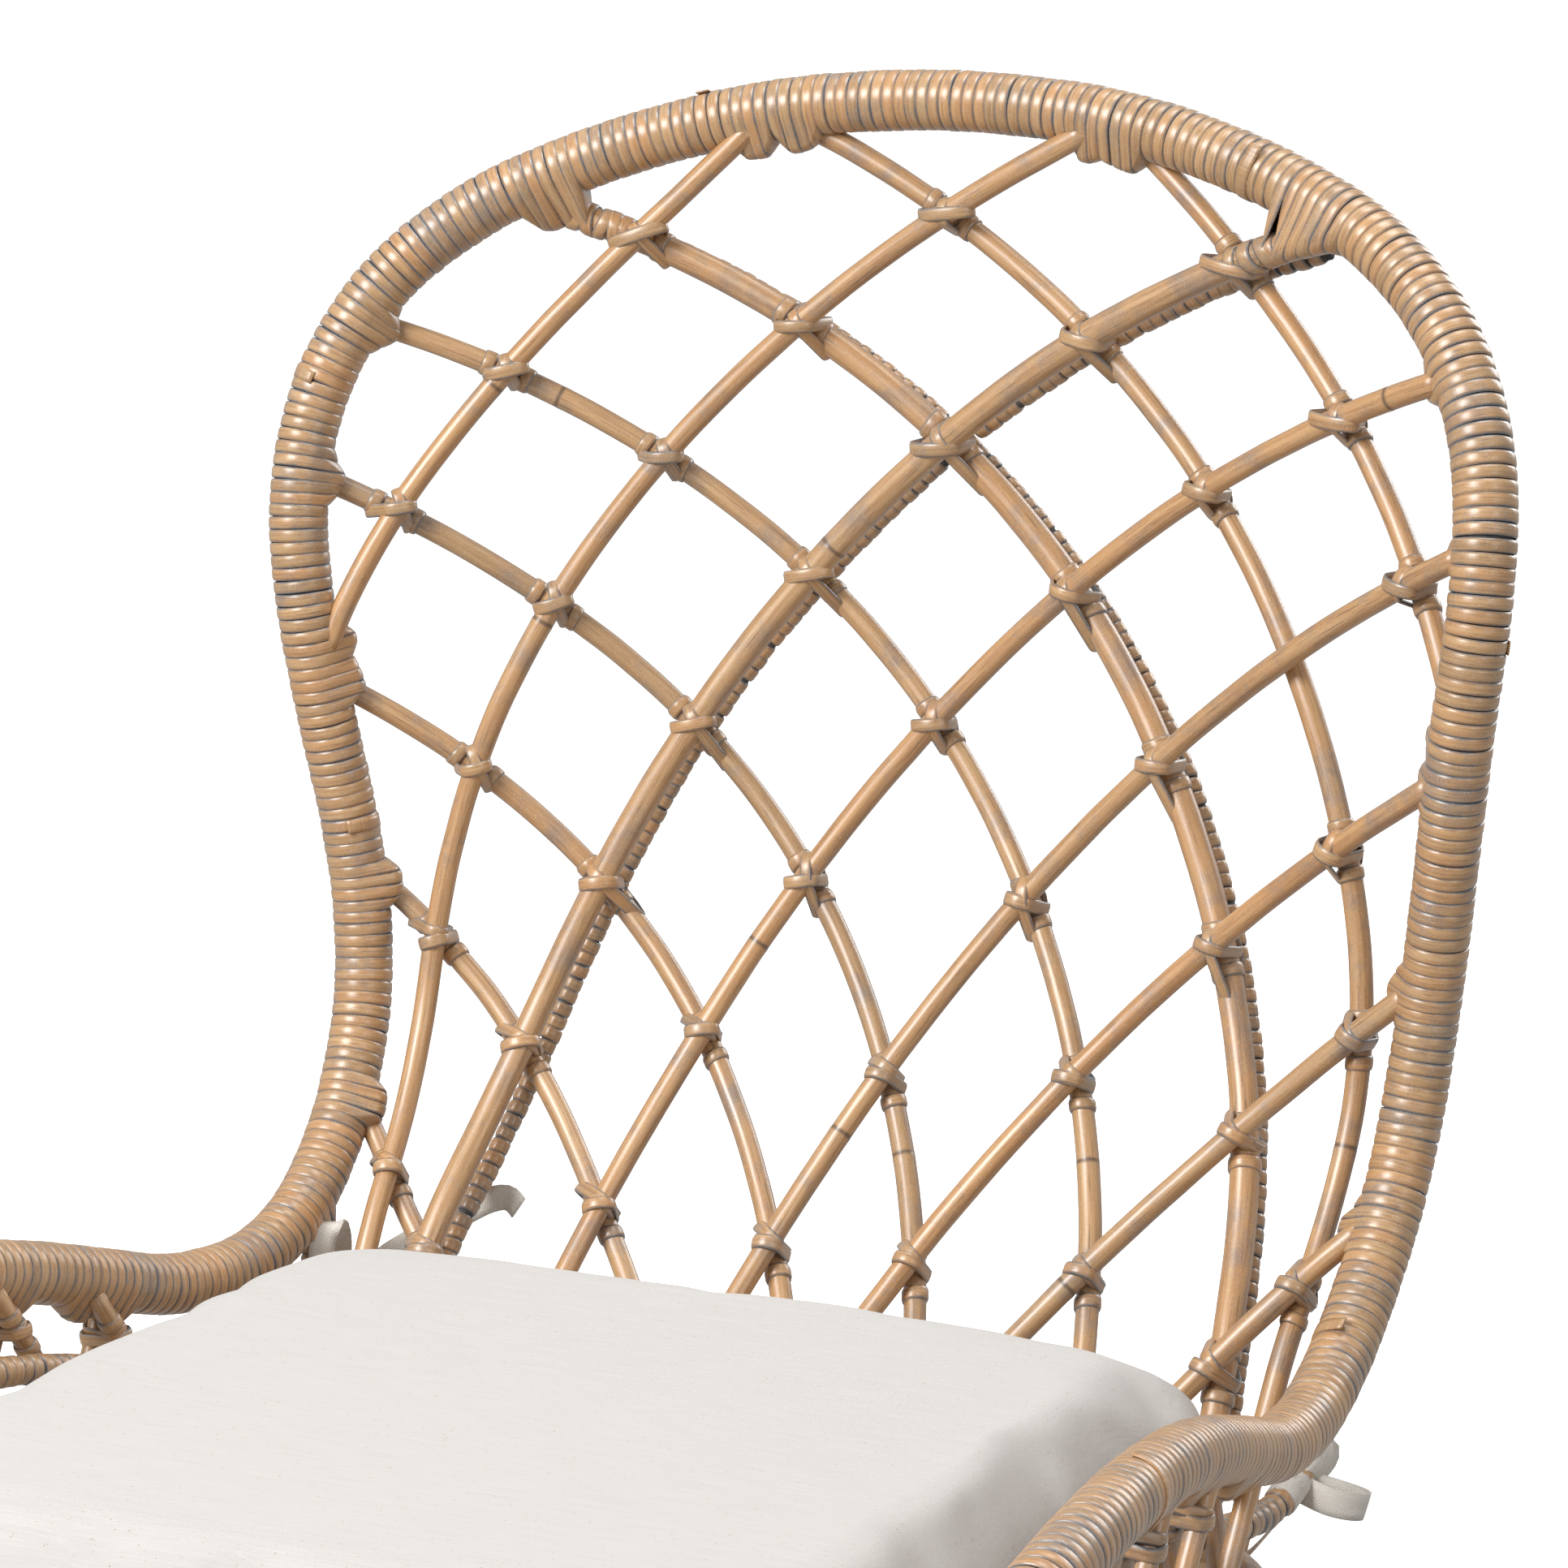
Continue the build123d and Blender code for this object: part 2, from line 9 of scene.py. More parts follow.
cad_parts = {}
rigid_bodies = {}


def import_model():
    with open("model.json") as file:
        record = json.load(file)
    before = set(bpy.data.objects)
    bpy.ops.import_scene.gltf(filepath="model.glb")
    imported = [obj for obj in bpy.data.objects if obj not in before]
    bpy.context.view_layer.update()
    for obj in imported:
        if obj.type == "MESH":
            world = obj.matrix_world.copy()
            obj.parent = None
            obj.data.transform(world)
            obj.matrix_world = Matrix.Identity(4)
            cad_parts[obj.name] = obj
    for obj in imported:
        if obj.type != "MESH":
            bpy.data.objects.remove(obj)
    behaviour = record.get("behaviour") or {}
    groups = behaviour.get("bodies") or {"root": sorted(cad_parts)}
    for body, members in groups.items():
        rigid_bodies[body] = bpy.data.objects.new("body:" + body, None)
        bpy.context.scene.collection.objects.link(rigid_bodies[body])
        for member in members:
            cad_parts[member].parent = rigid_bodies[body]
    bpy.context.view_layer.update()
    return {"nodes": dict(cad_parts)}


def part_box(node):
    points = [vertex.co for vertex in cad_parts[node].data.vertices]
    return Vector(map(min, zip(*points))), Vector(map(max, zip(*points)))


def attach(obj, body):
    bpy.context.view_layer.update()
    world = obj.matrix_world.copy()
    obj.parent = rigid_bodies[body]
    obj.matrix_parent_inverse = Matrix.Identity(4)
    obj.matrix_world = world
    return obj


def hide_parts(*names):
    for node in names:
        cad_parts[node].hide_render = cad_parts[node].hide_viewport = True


# Looks of a rattan lounge chair: greywashed poles, peel windings and knots, canvas cushion.
# Metres, in the CAD frame: +X the sitter's left, +Y the back, +Z up.

for leftover in list(bpy.data.objects):
    bpy.data.objects.remove(leftover)
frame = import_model()

# ---- sizes of the CAD pieces that the looks follow ----
rim_core_radius = 0.0122
pole_radius = 0.0053
rib_radius = 0.0067
rod_radius = 0.0048
arm_pole_radius = 0.0046
rail_radius = 0.0066
leg_radius = 0.014

# ---- sizes of the windings ----
wrap_gap = 0.0002         # from a core to its winding
rim_wrap_radius = 0.0131
peel_thickness = 0.0009
rim_pitch = 0.0059
rim_peel_width = 0.0061
thin_pitch = 0.0066
thin_peel_width = 0.0068
width_spread = (0.97, 1.05)   # how uneven a winding's strips and steps are
pitch_spread = (0.95, 1.05)
slip_gap = 0.22           # gap beside a turn that has slipped, as a share of the pitch
near_rim = 0.026          # a pole ends in the rim if its tip is this near to the rim's centre line
rib_climb = 0.029         # furthest from that line that the winding takes in a rib
rib_clear = 0.0004        # from a rib to the turns that take it in
rib_least_slant = 0.55    # keeps the cut through a rib that lies flat to a turn short
pole_climb = 0.0150       # the same for a thin pole
pole_climb_half = 0.0095  # how far each side of a pole its winding climbs
pole_climb_edge = 0.55    # how far out the climb starts, as a share of its furthest
pole_clear = 0.0003       # from a pole to the turns that take it in
collar_start = 0.032      # where a rib's own winding starts, from its end in the rim
collar_gap = 0.011        # from that winding to the middle of the rib's first knot

# ---- sizes of the knots ----
knot_width = 0.0063
knot_thickness = 0.0009
tied_gap = 0.004          # poles that pass each other nearer than this are tied
over_lift = 0.0010        # the upright loop of a knot lies over the level one
under_lift = 0.0001
steep_crossing = math.radians(34)   # poles nearer to parallel get a slanting band
steep_lean = 0.5          # how far past the poles that band slants
rib_knot_lean = 0.45      # how far the level band of a rib's knot slants
knot_least_slant = 0.35   # the same in a knot

ribs = ("lattice_front_3", "lattice_back_6")
untied = {"lattice_front_5", "lattice_back_7"}
pole_count = 8
arm_pole_count = 4


# ---- lines ----
def unit(vector):
    return vector / np.linalg.norm(vector)


class Path:
    """A line through points, measured in metres from its start."""

    def __init__(self, points):
        self.points = np.array(points, float)
        runs = np.linalg.norm(np.diff(self.points, axis=0), axis=1)
        self.places = np.concatenate([[0.0], np.cumsum(runs)])
        self.length = self.places[-1]

    def at(self, place):
        return np.array([np.interp(place, self.places, self.points[:, k]) for k in range(3)])

    def many(self, places):
        columns = [np.interp(places, self.places, self.points[:, k]) for k in range(3)]
        return np.stack(columns, axis=1)

    def along(self, place, reach=0.004):
        return unit(self.at(place + reach) - self.at(place - reach))

    def nearest(self, point, step=0.001):
        """Place on the line that is nearest to a point."""
        fine = np.arange(0.0, self.length, step)
        return fine[np.argmin(np.linalg.norm(self.many(fine) - point, axis=1))]


def mesh_points(mesh, key="co"):
    """The place of each vertex, or another of its vectors."""
    flat = np.zeros(len(mesh.vertices) * 3)
    mesh.vertices.foreach_get(key, flat)
    return flat.reshape(-1, 3)


def set_points(mesh, points):
    mesh.vertices.foreach_set("co", np.asarray(points, np.float32).ravel())
    mesh.update()


def inward_points(name, radius):
    """Each corner of a round CAD pole, moved inwards by its radius along its normal."""
    mesh = frame["nodes"][name].data
    normals = np.zeros(len(mesh.loops) * 3)
    mesh.corner_normals.foreach_get("vector", normals)
    owners = np.zeros(len(mesh.loops), int)
    mesh.loops.foreach_get("vertex_index", owners)
    return mesh_points(mesh)[owners] - normals.reshape(-1, 3) * radius


def smoothed(path, step=0.004, passes=3):
    """Evenly spaced points of a line, averaged a few times with their neighbours."""
    count = max(3, round(path.length / step))
    points = path.many(np.linspace(0, path.length, count + 1))
    for _ in range(passes):
        points[1:-1] = (points[:-2] + 2 * points[1:-1] + points[2:]) / 4
    return points


ring_cell = 0.0003        # corners of one ring step in to one cell of this size
full_ring = 12            # fewest corners of a whole ring
ring_gap = 0.002          # a ring nearer than this to the one before is passed over
end_reach = 0.06          # a pole's end face is within this of its last whole ring
end_spread = 1.2          # and within this many radii of its line
least_end = 0.0005        # shortest run from that ring to the end


def bent_line(name, radius, start=lambda points: points[:, 2].argmin()):
    """Centre line of a bent CAD pole, found where whole rings of corners step in to one point."""
    steps = inward_points(name, radius)
    keys, counts = np.unique(np.round(steps / ring_cell), axis=0, return_counts=True)
    middles = keys[counts >= full_ring] * ring_cell
    current = start(middles)
    chain = [middles[current]]
    middles = np.delete(middles, current, axis=0)
    while len(middles):
        gaps = np.linalg.norm(middles - chain[-1], axis=1)
        nearest = gaps.argmin()
        if gaps[nearest] > ring_gap:
            chain.append(middles[nearest])
        middles = np.delete(middles, nearest, axis=0)
    corners = mesh_points(frame["nodes"][name].data)
    for end in (0, -1):
        tip, before = chain[end], chain[1 if end == 0 else -2]
        onwards = unit(tip - before)
        away = corners - tip
        ahead = away @ onwards
        beside = np.linalg.norm(away - np.outer(ahead, onwards), axis=1)
        face = ahead[(beside < radius * end_spread) & (np.abs(ahead) < end_reach)]
        chain.insert(0 if end == 0 else len(chain), tip + onwards * max(face.max(), least_end))
    return Path(smoothed(Path(chain)))


def straight_line(name, radius):
    """Centre line of a straight CAD pole."""
    corners = mesh_points(frame["nodes"][name].data)
    middle = corners.mean(axis=0)
    along = np.linalg.svd(corners - middle, full_matrices=False)[2][0]
    if along[2] < 0:
        along = -along
    offsets = inward_points(name, radius) - middle
    offsets = offsets - np.outer(offsets @ along, along)
    axis = middle + np.median(offsets, axis=0)
    reach = (corners - axis) @ along
    return Path([axis + along * reach.min(), axis + along * reach.max()])


# ---- mesh building ----
def placed(name, data):
    """A new object in the scene."""
    obj = bpy.data.objects.new(name, data)
    bpy.context.scene.collection.objects.link(obj)
    return obj


class Shell:
    """Vertices, faces and the attributes that the materials read."""

    def __init__(self):
        self.points, self.faces, self.grain, self.tint = [], [], [], []
        self.scar, self.wash = [], []

    def add(self, points, faces, grain, tint, scar=None, wash=None):
        first = len(self.points)
        self.points += [tuple(p) for p in points]
        self.faces += [tuple(first + i for i in face) for face in faces]
        self.grain += [tuple(g) for g in grain]
        self.tint += [tint] * len(points)
        self.scar += list(scar) if scar is not None else [0.0] * len(points)
        self.wash += list(wash) if wash is not None else [0.0] * len(points)

    def piece(self, name, body, material, slot, *replaced):
        """Make the object, which rides on a body and may stand for CAD nodes."""
        mesh = bpy.data.meshes.new(name)
        mesh.from_pydata(self.points, [], self.faces)
        for key, kind, values in (("grain", "FLOAT_VECTOR", self.grain),
                                  ("tint", "FLOAT", self.tint), ("scar", "FLOAT", self.scar),
                                  ("wash", "FLOAT", self.wash)):
            layer = mesh.attributes.new(key, kind, "POINT")
            flat = np.array(values, np.float32).ravel()
            layer.data.foreach_set("vector" if kind == "FLOAT_VECTOR" else "value", flat)
        mesh.materials.append(material)
        mesh.polygons.foreach_set("use_smooth", [True] * len(mesh.polygons))
        mesh.update()
        obj = placed(name, mesh)
        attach(obj, body)
        if replaced:
            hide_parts(*replaced)


odd_way = (0.31, 0.87, 0.38)   # a direction that no line of the chair takes


def across(direction):
    """Two directions square to one."""
    first = unit(np.cross(direction, odd_way))
    return first, np.cross(direction, first)


def tube_faces(rows, edge):
    """Faces of a tube of point rows, with a flat face at each end."""
    faces = []
    for row in range(rows - 1):
        low, high = row * edge, (row + 1) * edge
        for j in range(edge):
            after = (j + 1) % edge
            faces.append((low + j, low + after, high + after, high + j))
    faces.append(tuple(reversed(range(edge))))
    faces.append(tuple(range((rows - 1) * edge, rows * edge)))
    return faces


# across a strip: place as a share of the width, height as a share of the thickness, and the edge
# mask that takes the grey-blue wash, partly real wash and partly painted shade in the grooves
# between strips
peel_profile = ((-0.5, -0.4, 1.0), (-0.47, 0.5, 1.0), (-0.26, 1.0, 0.0),
                (0.26, 1.0, 0.0), (0.47, 0.5, 1.0), (0.5, -0.4, 1.0))
grain_reach = 3.0         # strips are cut this far apart from the same grain


def tight(outward, normal, rods):
    """In each outward direction, the furthest point of the rods that a band goes round."""
    best = np.full(len(outward), -1.0)
    touched = np.zeros((len(outward), 3))
    for offset, long_radius, short_radius, direction in rods:
        other = np.cross(normal, direction)
        n_long, n_short = outward @ direction, outward @ other
        bulge = np.sqrt((long_radius * n_long) ** 2 + (short_radius * n_short) ** 2)
        support = outward @ offset + bulge
        places = offset + (np.outer(long_radius ** 2 * n_long / bulge, direction)
                           + np.outer(short_radius ** 2 * n_short / bulge, other))
        better = support > best
        best = np.where(better, support, best)
        touched[better] = places[better]
    return touched


def taut_loop(shell, rng, centre, normal, rods, width, thickness, count=28, tilt=0.0, lift=0.0,
              far_rods=None):
    """A closed band of peel pulled tight round rods, given for one edge or for both edges.

    A rod is (offset from the centre, long radius, short radius, direction of the long one)."""
    first_way, second_way = across(normal)
    turns = np.arange(count) * 2 * math.pi / count
    outward = np.outer(np.cos(turns), first_way) + np.outer(np.sin(turns), second_way)
    near = tight(outward, normal, rods)
    far = near if far_rods is None else tight(outward, normal, far_rods)
    lean_at = rng.uniform(0, 2 * math.pi)
    leaning = tilt * np.sin(turns - lean_at)
    tint = rng.random()
    shift = rng.uniform(0, grain_reach)
    points, grain = [], []
    for k in range(count):
        reach = float(np.linalg.norm(near[k]))
        for side, height, _ in peel_profile:
            axial = side * width + leaning[k] * reach
            base = near[k] * (0.5 - side) + far[k] * (0.5 + side)
            points.append(centre + base + outward[k] * (lift + height * thickness)
                          + normal * axial)
            grain.append((reach * math.cos(turns[k]), reach * math.sin(turns[k]),
                          side * width + shift))
    edge = len(peel_profile)
    faces = []
    for k in range(count):
        here, there = k * edge, (k + 1) % count * edge
        for j in range(edge):
            after = (j + 1) % edge
            faces.append((here + j, there + j, there + after, here + after))
    shell.add(points, faces, grain, tint, wash=[wash for _, _, wash in peel_profile] * count)


def disc(radius, offset=(0.0, 0.0, 0.0), normal=(0.0, 0.0, 1.0)):
    """A round rod square to a band, as taut_loop takes it."""
    return (np.array(offset, float), radius, radius, across(np.array(normal, float))[0])


def wind(shell, rng, path, radius, pitch, width, thickness, joints=(), count=28,
         tilts=(0.005, 0.025), lifts=(-0.0001, 0.0002), slips=0.0):
    """Turns of peel side by side along a line. Near a joint they take in the joining pole.

    Slips is the share of turns that have come apart from the next one."""
    place = pitch / 2
    while place < path.length:
        centre, along = path.at(place), path.along(place)
        edges = []
        for shift in (-width / 2, width / 2):
            rods = [disc(radius, normal=along)]
            for joint in joints:
                rods += joint(place + shift, centre + along * shift, along)
            edges.append(rods)
        taut_loop(shell, rng, centre, along, edges[0], width * rng.uniform(*width_spread),
                  thickness, count, rng.uniform(*tilts), rng.uniform(*lifts), edges[1])
        place += pitch * rng.uniform(*pitch_spread)
        if rng.random() < slips:
            place += pitch * slip_gap


def rib_joint(line, radius, from_start, stretch=0.075, step=0.0005, aim=4):
    """A slanting rib: every turn that the rib passes through near its end goes round it too.

    Stretch is how far from its end the rib is followed, and aim how many steps each way give
    its direction."""
    steps = np.arange(0.0, stretch, step)
    places = steps if from_start else line.length - steps
    points = line.many(places)

    def rods(place, centre, along):
        ahead = (points - centre) @ along
        crossed = np.nonzero(np.diff(np.sign(ahead)))[0]
        if not len(crossed):
            return []
        k = crossed[0]
        offset = points[k] - centre
        offset = offset - along * (offset @ along)
        if np.linalg.norm(offset) > rib_climb:
            return []
        direction = unit(points[min(k + aim, len(points) - 1)] - points[max(k - aim, 0)])
        slant = max(abs(direction @ along), rib_least_slant)
        flat = unit(direction - along * (direction @ along))
        return [(offset, (radius + rib_clear) / slant, radius + rib_clear, flat)]

    return rods


def pole_joint(line, radius, from_start, aim=0.03, bluntness=6):
    """A thin pole: a few turns bulge over its end.

    Aim is how far in the pole's direction is taken, and bluntness how suddenly the bulge ends."""
    ends = (0.0, aim) if from_start else (line.length, line.length - aim)
    tip, inwards = line.at(ends[0]), line.at(ends[1])
    middle = rim_line.nearest(tip)
    direction = unit(inwards - tip)

    def rods(place, centre, along):
        share = 1 - ((place - middle) / pole_climb_half) ** bluntness
        if share <= 0:
            return []
        sideways = direction - along * (direction @ along)
        far = pole_climb * (pole_climb_edge + (1 - pole_climb_edge) * share)
        return [disc(radius + pole_clear, unit(sideways) * far, along)]

    return rods


# ---- natural poles ----
first_scar = (0.05, 0.5)  # where a pole's first ring scar lies, and how far apart they are
scar_gaps = (0.32, 0.6)
scar_rows = (-0.004, -0.002, -0.001, 0, 0.0008, 0.0016, 0.003)   # rows of points about a scar
swell_width = 0.0022
groove_place = 0.0014     # from the top of the swelling to the groove beside it
groove_width = 0.0006
groove_share = 0.8        # depth of the groove, as a share of the swelling
mark_width = 0.0011       # width of the dark line in the groove
pole_row = 0.006          # from one row of a pole's points to the next
pole_waver = 0.018        # how uneven a pole's radius is, and how often in a metre
waver_rate = 37


def bell(distance, width):
    return math.exp(-(distance / width) ** 2)


def round_pole(shell, rng, path, radius, sides=18, node_swell=0.02):
    """A natural pole: slightly uneven, with the swollen ring scars where leaves grew."""
    nodes = []
    place = rng.uniform(*first_scar)
    while place < path.length:
        nodes.append(place)
        place += rng.uniform(*scar_gaps)
    places = list(np.linspace(0, path.length, max(2, round(path.length / pole_row)) + 1))
    for node in nodes:
        places += [node + step for step in scar_rows]
    places = sorted({round(min(max(p, 0.0), path.length), 5) for p in places})
    start = rng.uniform(0, 50)
    tint = rng.random()
    side = across(path.along(0.0))[0]
    points, grain, scar = [], [], []
    for place in places:
        along = path.along(place)
        side = unit(side - along * (side @ along))
        other = np.cross(along, side)
        size = radius * (1 + pole_waver * math.sin(waver_rate * place + start))
        mark = 0.0
        for node in nodes:
            past_groove = place - node - groove_place
            size += radius * node_swell * bell(place - node, swell_width)
            size -= radius * node_swell * groove_share * bell(past_groove, groove_width)
            mark += bell(past_groove, mark_width)
        centre = path.at(place)
        for k in range(sides):
            turn = 2 * math.pi * k / sides
            out = side * math.cos(turn) + other * math.sin(turn)
            points.append(centre + out * size)
            grain.append((radius * math.cos(turn) + start, radius * math.sin(turn), place))
            scar.append(min(mark, 1.0))
    shell.add(points, tube_faces(len(places), sides), grain, tint, scar)


# ---- material nodes ----
def material(name):
    made = bpy.data.materials.new(name)
    made.use_nodes = True
    tree = made.node_tree
    return made, tree, tree.nodes["Principled BSDF"]


def node(tree, kind, **values):
    """A shader node, with its properties or else its input sockets set by name."""
    made = tree.nodes.new(kind)
    for key, value in values.items():
        if hasattr(made, key):
            setattr(made, key, value)
        else:
            made.inputs[key.replace("_", " ")].default_value = value
    return made


def object_place(tree):
    """Where a point lies in its piece, in metres."""
    return tree.nodes.new("ShaderNodeTexCoord").outputs["Object"]


def attribute(tree, name):
    made = tree.nodes.new("ShaderNodeAttribute")
    made.attribute_name = name
    return made


def separated(tree, source):
    """The X, Y and Z outputs of a vector."""
    split = tree.nodes.new("ShaderNodeSeparateXYZ")
    tree.links.new(source, split.inputs["Vector"])
    return split.outputs


def grey(value):
    return (value, value, value)


def ramp(tree, source, stops):
    """A colour for each value, from (value, colour or grey level) stops."""
    made = tree.nodes.new("ShaderNodeValToRGB")
    elements = made.color_ramp.elements
    while len(elements) < len(stops):
        elements.new(0.5)
    for element, (place, colour) in zip(elements, stops):
        element.position = place
        element.color = (*(colour if isinstance(colour, tuple) else grey(colour)), 1.0)
    tree.links.new(source, made.inputs["Fac"])
    return made.outputs["Color"]


def mixed(tree, factor, a, b, blend="MIX"):
    """Colour a with b over it, each a socket or a colour."""
    made = tree.nodes.new("ShaderNodeMix")
    made.data_type = "RGBA"
    made.blend_type = blend
    sockets = {s.identifier: s for s in made.inputs}
    for socket, value in (("Factor_Float", factor), ("A_Color", a), ("B_Color", b)):
        if isinstance(value, bpy.types.NodeSocket):
            tree.links.new(value, sockets[socket])
        elif isinstance(value, tuple):
            sockets[socket].default_value = (*value, 1.0)
        else:
            sockets[socket].default_value = value
    return next(s for s in made.outputs if s.identifier == "Result_Color")


def joined(tree, operation, a, b=0.0):
    """A maths node on one or two values, each a socket or a number."""
    made = node(tree, "ShaderNodeMath", operation=operation)
    for index, value in enumerate((a, b)):
        if isinstance(value, bpy.types.NodeSocket):
            tree.links.new(value, made.inputs[index])
        else:
            made.inputs[index].default_value = value
    return made.outputs[0]


def stretched(tree, source, scale):
    mapping = tree.nodes.new("ShaderNodeMapping")
    mapping.inputs["Scale"].default_value = scale
    tree.links.new(source, mapping.inputs["Vector"])
    return mapping.outputs["Vector"]


def noise_of(tree, vector, scale, detail=3.0, roughness=0.6):
    made = node(tree, "ShaderNodeTexNoise", Scale=scale, Detail=detail, Roughness=roughness)
    tree.links.new(vector, made.inputs["Vector"])
    return made.outputs["Fac"]


def bumped(tree, shader, height, strength, distance):
    bump = node(tree, "ShaderNodeBump", Strength=strength, Distance=distance)
    tree.links.new(height, bump.inputs["Height"])
    tree.links.new(bump.outputs["Normal"], shader.inputs["Normal"])


# ---- rattan ----
honey = (0.50, 0.285, 0.127)
tan = (0.35, 0.195, 0.088)
pale_straw = (0.61, 0.40, 0.205)
umber = (0.085, 0.05, 0.03)
# grey-blue wash colour; at the strips' edges it is also darkened as painted shade in the grooves
grey_blue_wash_and_groove_shade = (0.17, 0.172, 0.185)
lime_white = (0.70, 0.61, 0.49)
strip_tints = ((0.0, (0.80, 0.82, 0.86)), (0.3, 0.96), (0.55, (1.10, 0.97, 0.84)),
               (0.8, (0.98, 0.98, 1.0)), (1.0, 1.10))
patch_scale = 38.0        # of the wash's patches, and of the lime dust
dust_scale = 1500.0
fine_share = 3.1          # how much finer the dark fibre lines are than the streaks


def rattan(name, streak_scale, from_attributes=True, wash=0.55, roughness=(0.30, 0.46)):
    """Greywashed rattan: streaks along the fibres, a grey-blue wash in patches, dark scars."""
    made, tree, shader = material(name)
    place = object_place(tree)
    source = attribute(tree, "grain").outputs["Vector"] if from_attributes else place
    fine_scale = tuple(fine_share * scale for scale in streak_scale)
    streaks = noise_of(tree, stretched(tree, source, streak_scale), 1.0, 4.0, 0.65)
    fine = noise_of(tree, stretched(tree, source, fine_scale), 1.0)
    patches = noise_of(tree, place, patch_scale, 4.0, 0.7)
    colour = ramp(tree, streaks, ((0.28, tan), (0.48, honey), (0.72, pale_straw)))
    if from_attributes:
        tints = ramp(tree, attribute(tree, "tint").outputs["Fac"], strip_tints)
        colour = mixed(tree, 0.75, colour, tints, "MULTIPLY")
    washed = ramp(tree, patches, ((0.50, 0.0), (0.70, wash)))
    colour = mixed(tree, washed, colour, grey_blue_wash_and_groove_shade)
    if from_attributes:
        # the strips' edges darken to the grey-blue wash: partly real wash in the grooves, partly
        # painted shade between the strips
        groove_wash_and_shade = ramp(tree, attribute(tree, "wash").outputs["Fac"], ((0.25, 0.0), (0.85, 1.0)))
        groove_stain_and_shade = joined(tree, "MULTIPLY", groove_wash_and_shade,
                         ramp(tree, patches, ((0.34, 0.25), (0.58, 1.0))))
        colour = mixed(tree, groove_stain_and_shade, colour, grey_blue_wash_and_groove_shade)
    dust = ramp(tree, noise_of(tree, place, dust_scale, 1.0), ((0.58, 0.0), (0.72, 0.35)))
    colour = mixed(tree, dust, colour, lime_white)
    fibres = ramp(tree, fine, ((0.30, 0.6), (0.42, 0.0)))
    colour = mixed(tree, fibres, colour, umber)
    if from_attributes:
        scars = ramp(tree, attribute(tree, "scar").outputs["Fac"], ((0.1, 0.0), (0.9, 0.8)))
        colour = mixed(tree, scars, colour, umber)
    tree.links.new(colour, shader.inputs["Base Color"])
    rough = ramp(tree, streaks, ((0.3, roughness[1]), (0.7, roughness[0])))
    tree.links.new(rough, shader.inputs["Roughness"])
    shader.inputs["Coat Weight"].default_value = 1.0
    shader.inputs["Coat Roughness"].default_value = 0.33
    bumped(tree, shader, fine, 0.35, 0.0004)
    return made


# noise scales are small along the fibres: along a pole, and round a turn of peel
pole_finish = rattan("rattan_pole_greywashed", (420.0, 420.0, 14.0))
peel_finish = rattan("rattan_peel_greywashed", (26.0, 26.0, 760.0), wash=0.5,
                     roughness=(0.25, 0.40))
upright_finish = rattan("rattan_frame_upright", (210.0, 210.0, 9.0), False)
crosswise_finish = rattan("rattan_frame_crosswise", (9.0, 210.0, 210.0), False)
lengthwise_finish = rattan("rattan_frame_lengthwise", (210.0, 9.0, 210.0), False)


def core_material():
    """Dark core seen between the turns of a winding: near black, painted shade in the gaps."""
    made, tree, shader = material("rattan_core_shadowed")
    colour = ramp(tree, noise_of(tree, object_place(tree), 240.0),
                  ((0.35, (0.05, 0.048, 0.048)), (0.7, (0.12, 0.115, 0.115))))
    tree.links.new(colour, shader.inputs["Base Color"])
    shader.inputs["Roughness"].default_value = 0.8
    return made


painted_shade_core = core_material()

# ---- cotton ----
thread_pitch = 0.0011     # of the cushion's canvas
herringbone_half = 0.0031  # width of one slanting band of the tape's weave
ridge_pitch = 0.0012


def canvas():
    """Undyed cotton canvas: plain weave, slubs and tiny seed flecks."""
    made, tree, shader = material("cotton_canvas_cream")
    source = object_place(tree)
    places = separated(tree, source)
    x, y, z = (joined(tree, "SINE", joined(tree, "MULTIPLY", places[axis],
                                           2 * math.pi / thread_pitch)) for axis in "XYZ")
    weave = joined(tree, "ADD", joined(tree, "MULTIPLY", x, y), joined(tree, "MULTIPLY", y, z))
    weave = joined(tree, "ADD", weave, joined(tree, "MULTIPLY", x, z))
    slub = noise_of(tree, stretched(tree, source, (30.0, 900.0, 900.0)), 1.0, 2.0)
    colour = ramp(tree, slub, ((0.3, (0.56, 0.539, 0.514)), (0.7, (0.61, 0.589, 0.564))))
    shade = ramp(tree, joined(tree, "MULTIPLY", weave, 0.25), ((0.0, 0.94), (1.0, 1.03)))
    colour = mixed(tree, 1.0, colour, shade, "MULTIPLY")
    specks = ramp(tree, noise_of(tree, source, 560.0, 1.0), ((0.72, 0.0), (0.75, 0.7)))
    colour = mixed(tree, specks, colour, (0.36, 0.27, 0.19))
    tree.links.new(colour, shader.inputs["Base Color"])
    shader.inputs["Roughness"].default_value = 0.92
    shader.inputs["Sheen Weight"].default_value = 0.25
    shader.inputs["Sheen Roughness"].default_value = 0.6
    bumped(tree, shader, joined(tree, "ADD", weave, slub), 0.25, 0.00025)
    return made


canvas_finish = canvas()


def tape_material():
    """Herringbone cotton tape; grain is (across, 0, along) in metres."""
    made, tree, shader = material("cotton_herringbone_tape")
    places = separated(tree, attribute(tree, "grain").outputs["Vector"])
    zigzag = joined(tree, "PINGPONG", places["X"], herringbone_half)
    slanted = joined(tree, "ADD", places["Z"], zigzag)
    ridges = joined(tree, "SINE", joined(tree, "MULTIPLY", slanted, 2 * math.pi / ridge_pitch))
    colour = ramp(tree, ridges, ((0.0, (0.70, 0.655, 0.59)), (0.8, (0.86, 0.825, 0.77))))
    tree.links.new(colour, shader.inputs["Base Color"])
    shader.inputs["Roughness"].default_value = 0.9
    shader.inputs["Sheen Weight"].default_value = 0.2
    bumped(tree, shader, ridges, 0.5, 0.0003)
    return made


tape_finish = tape_material()


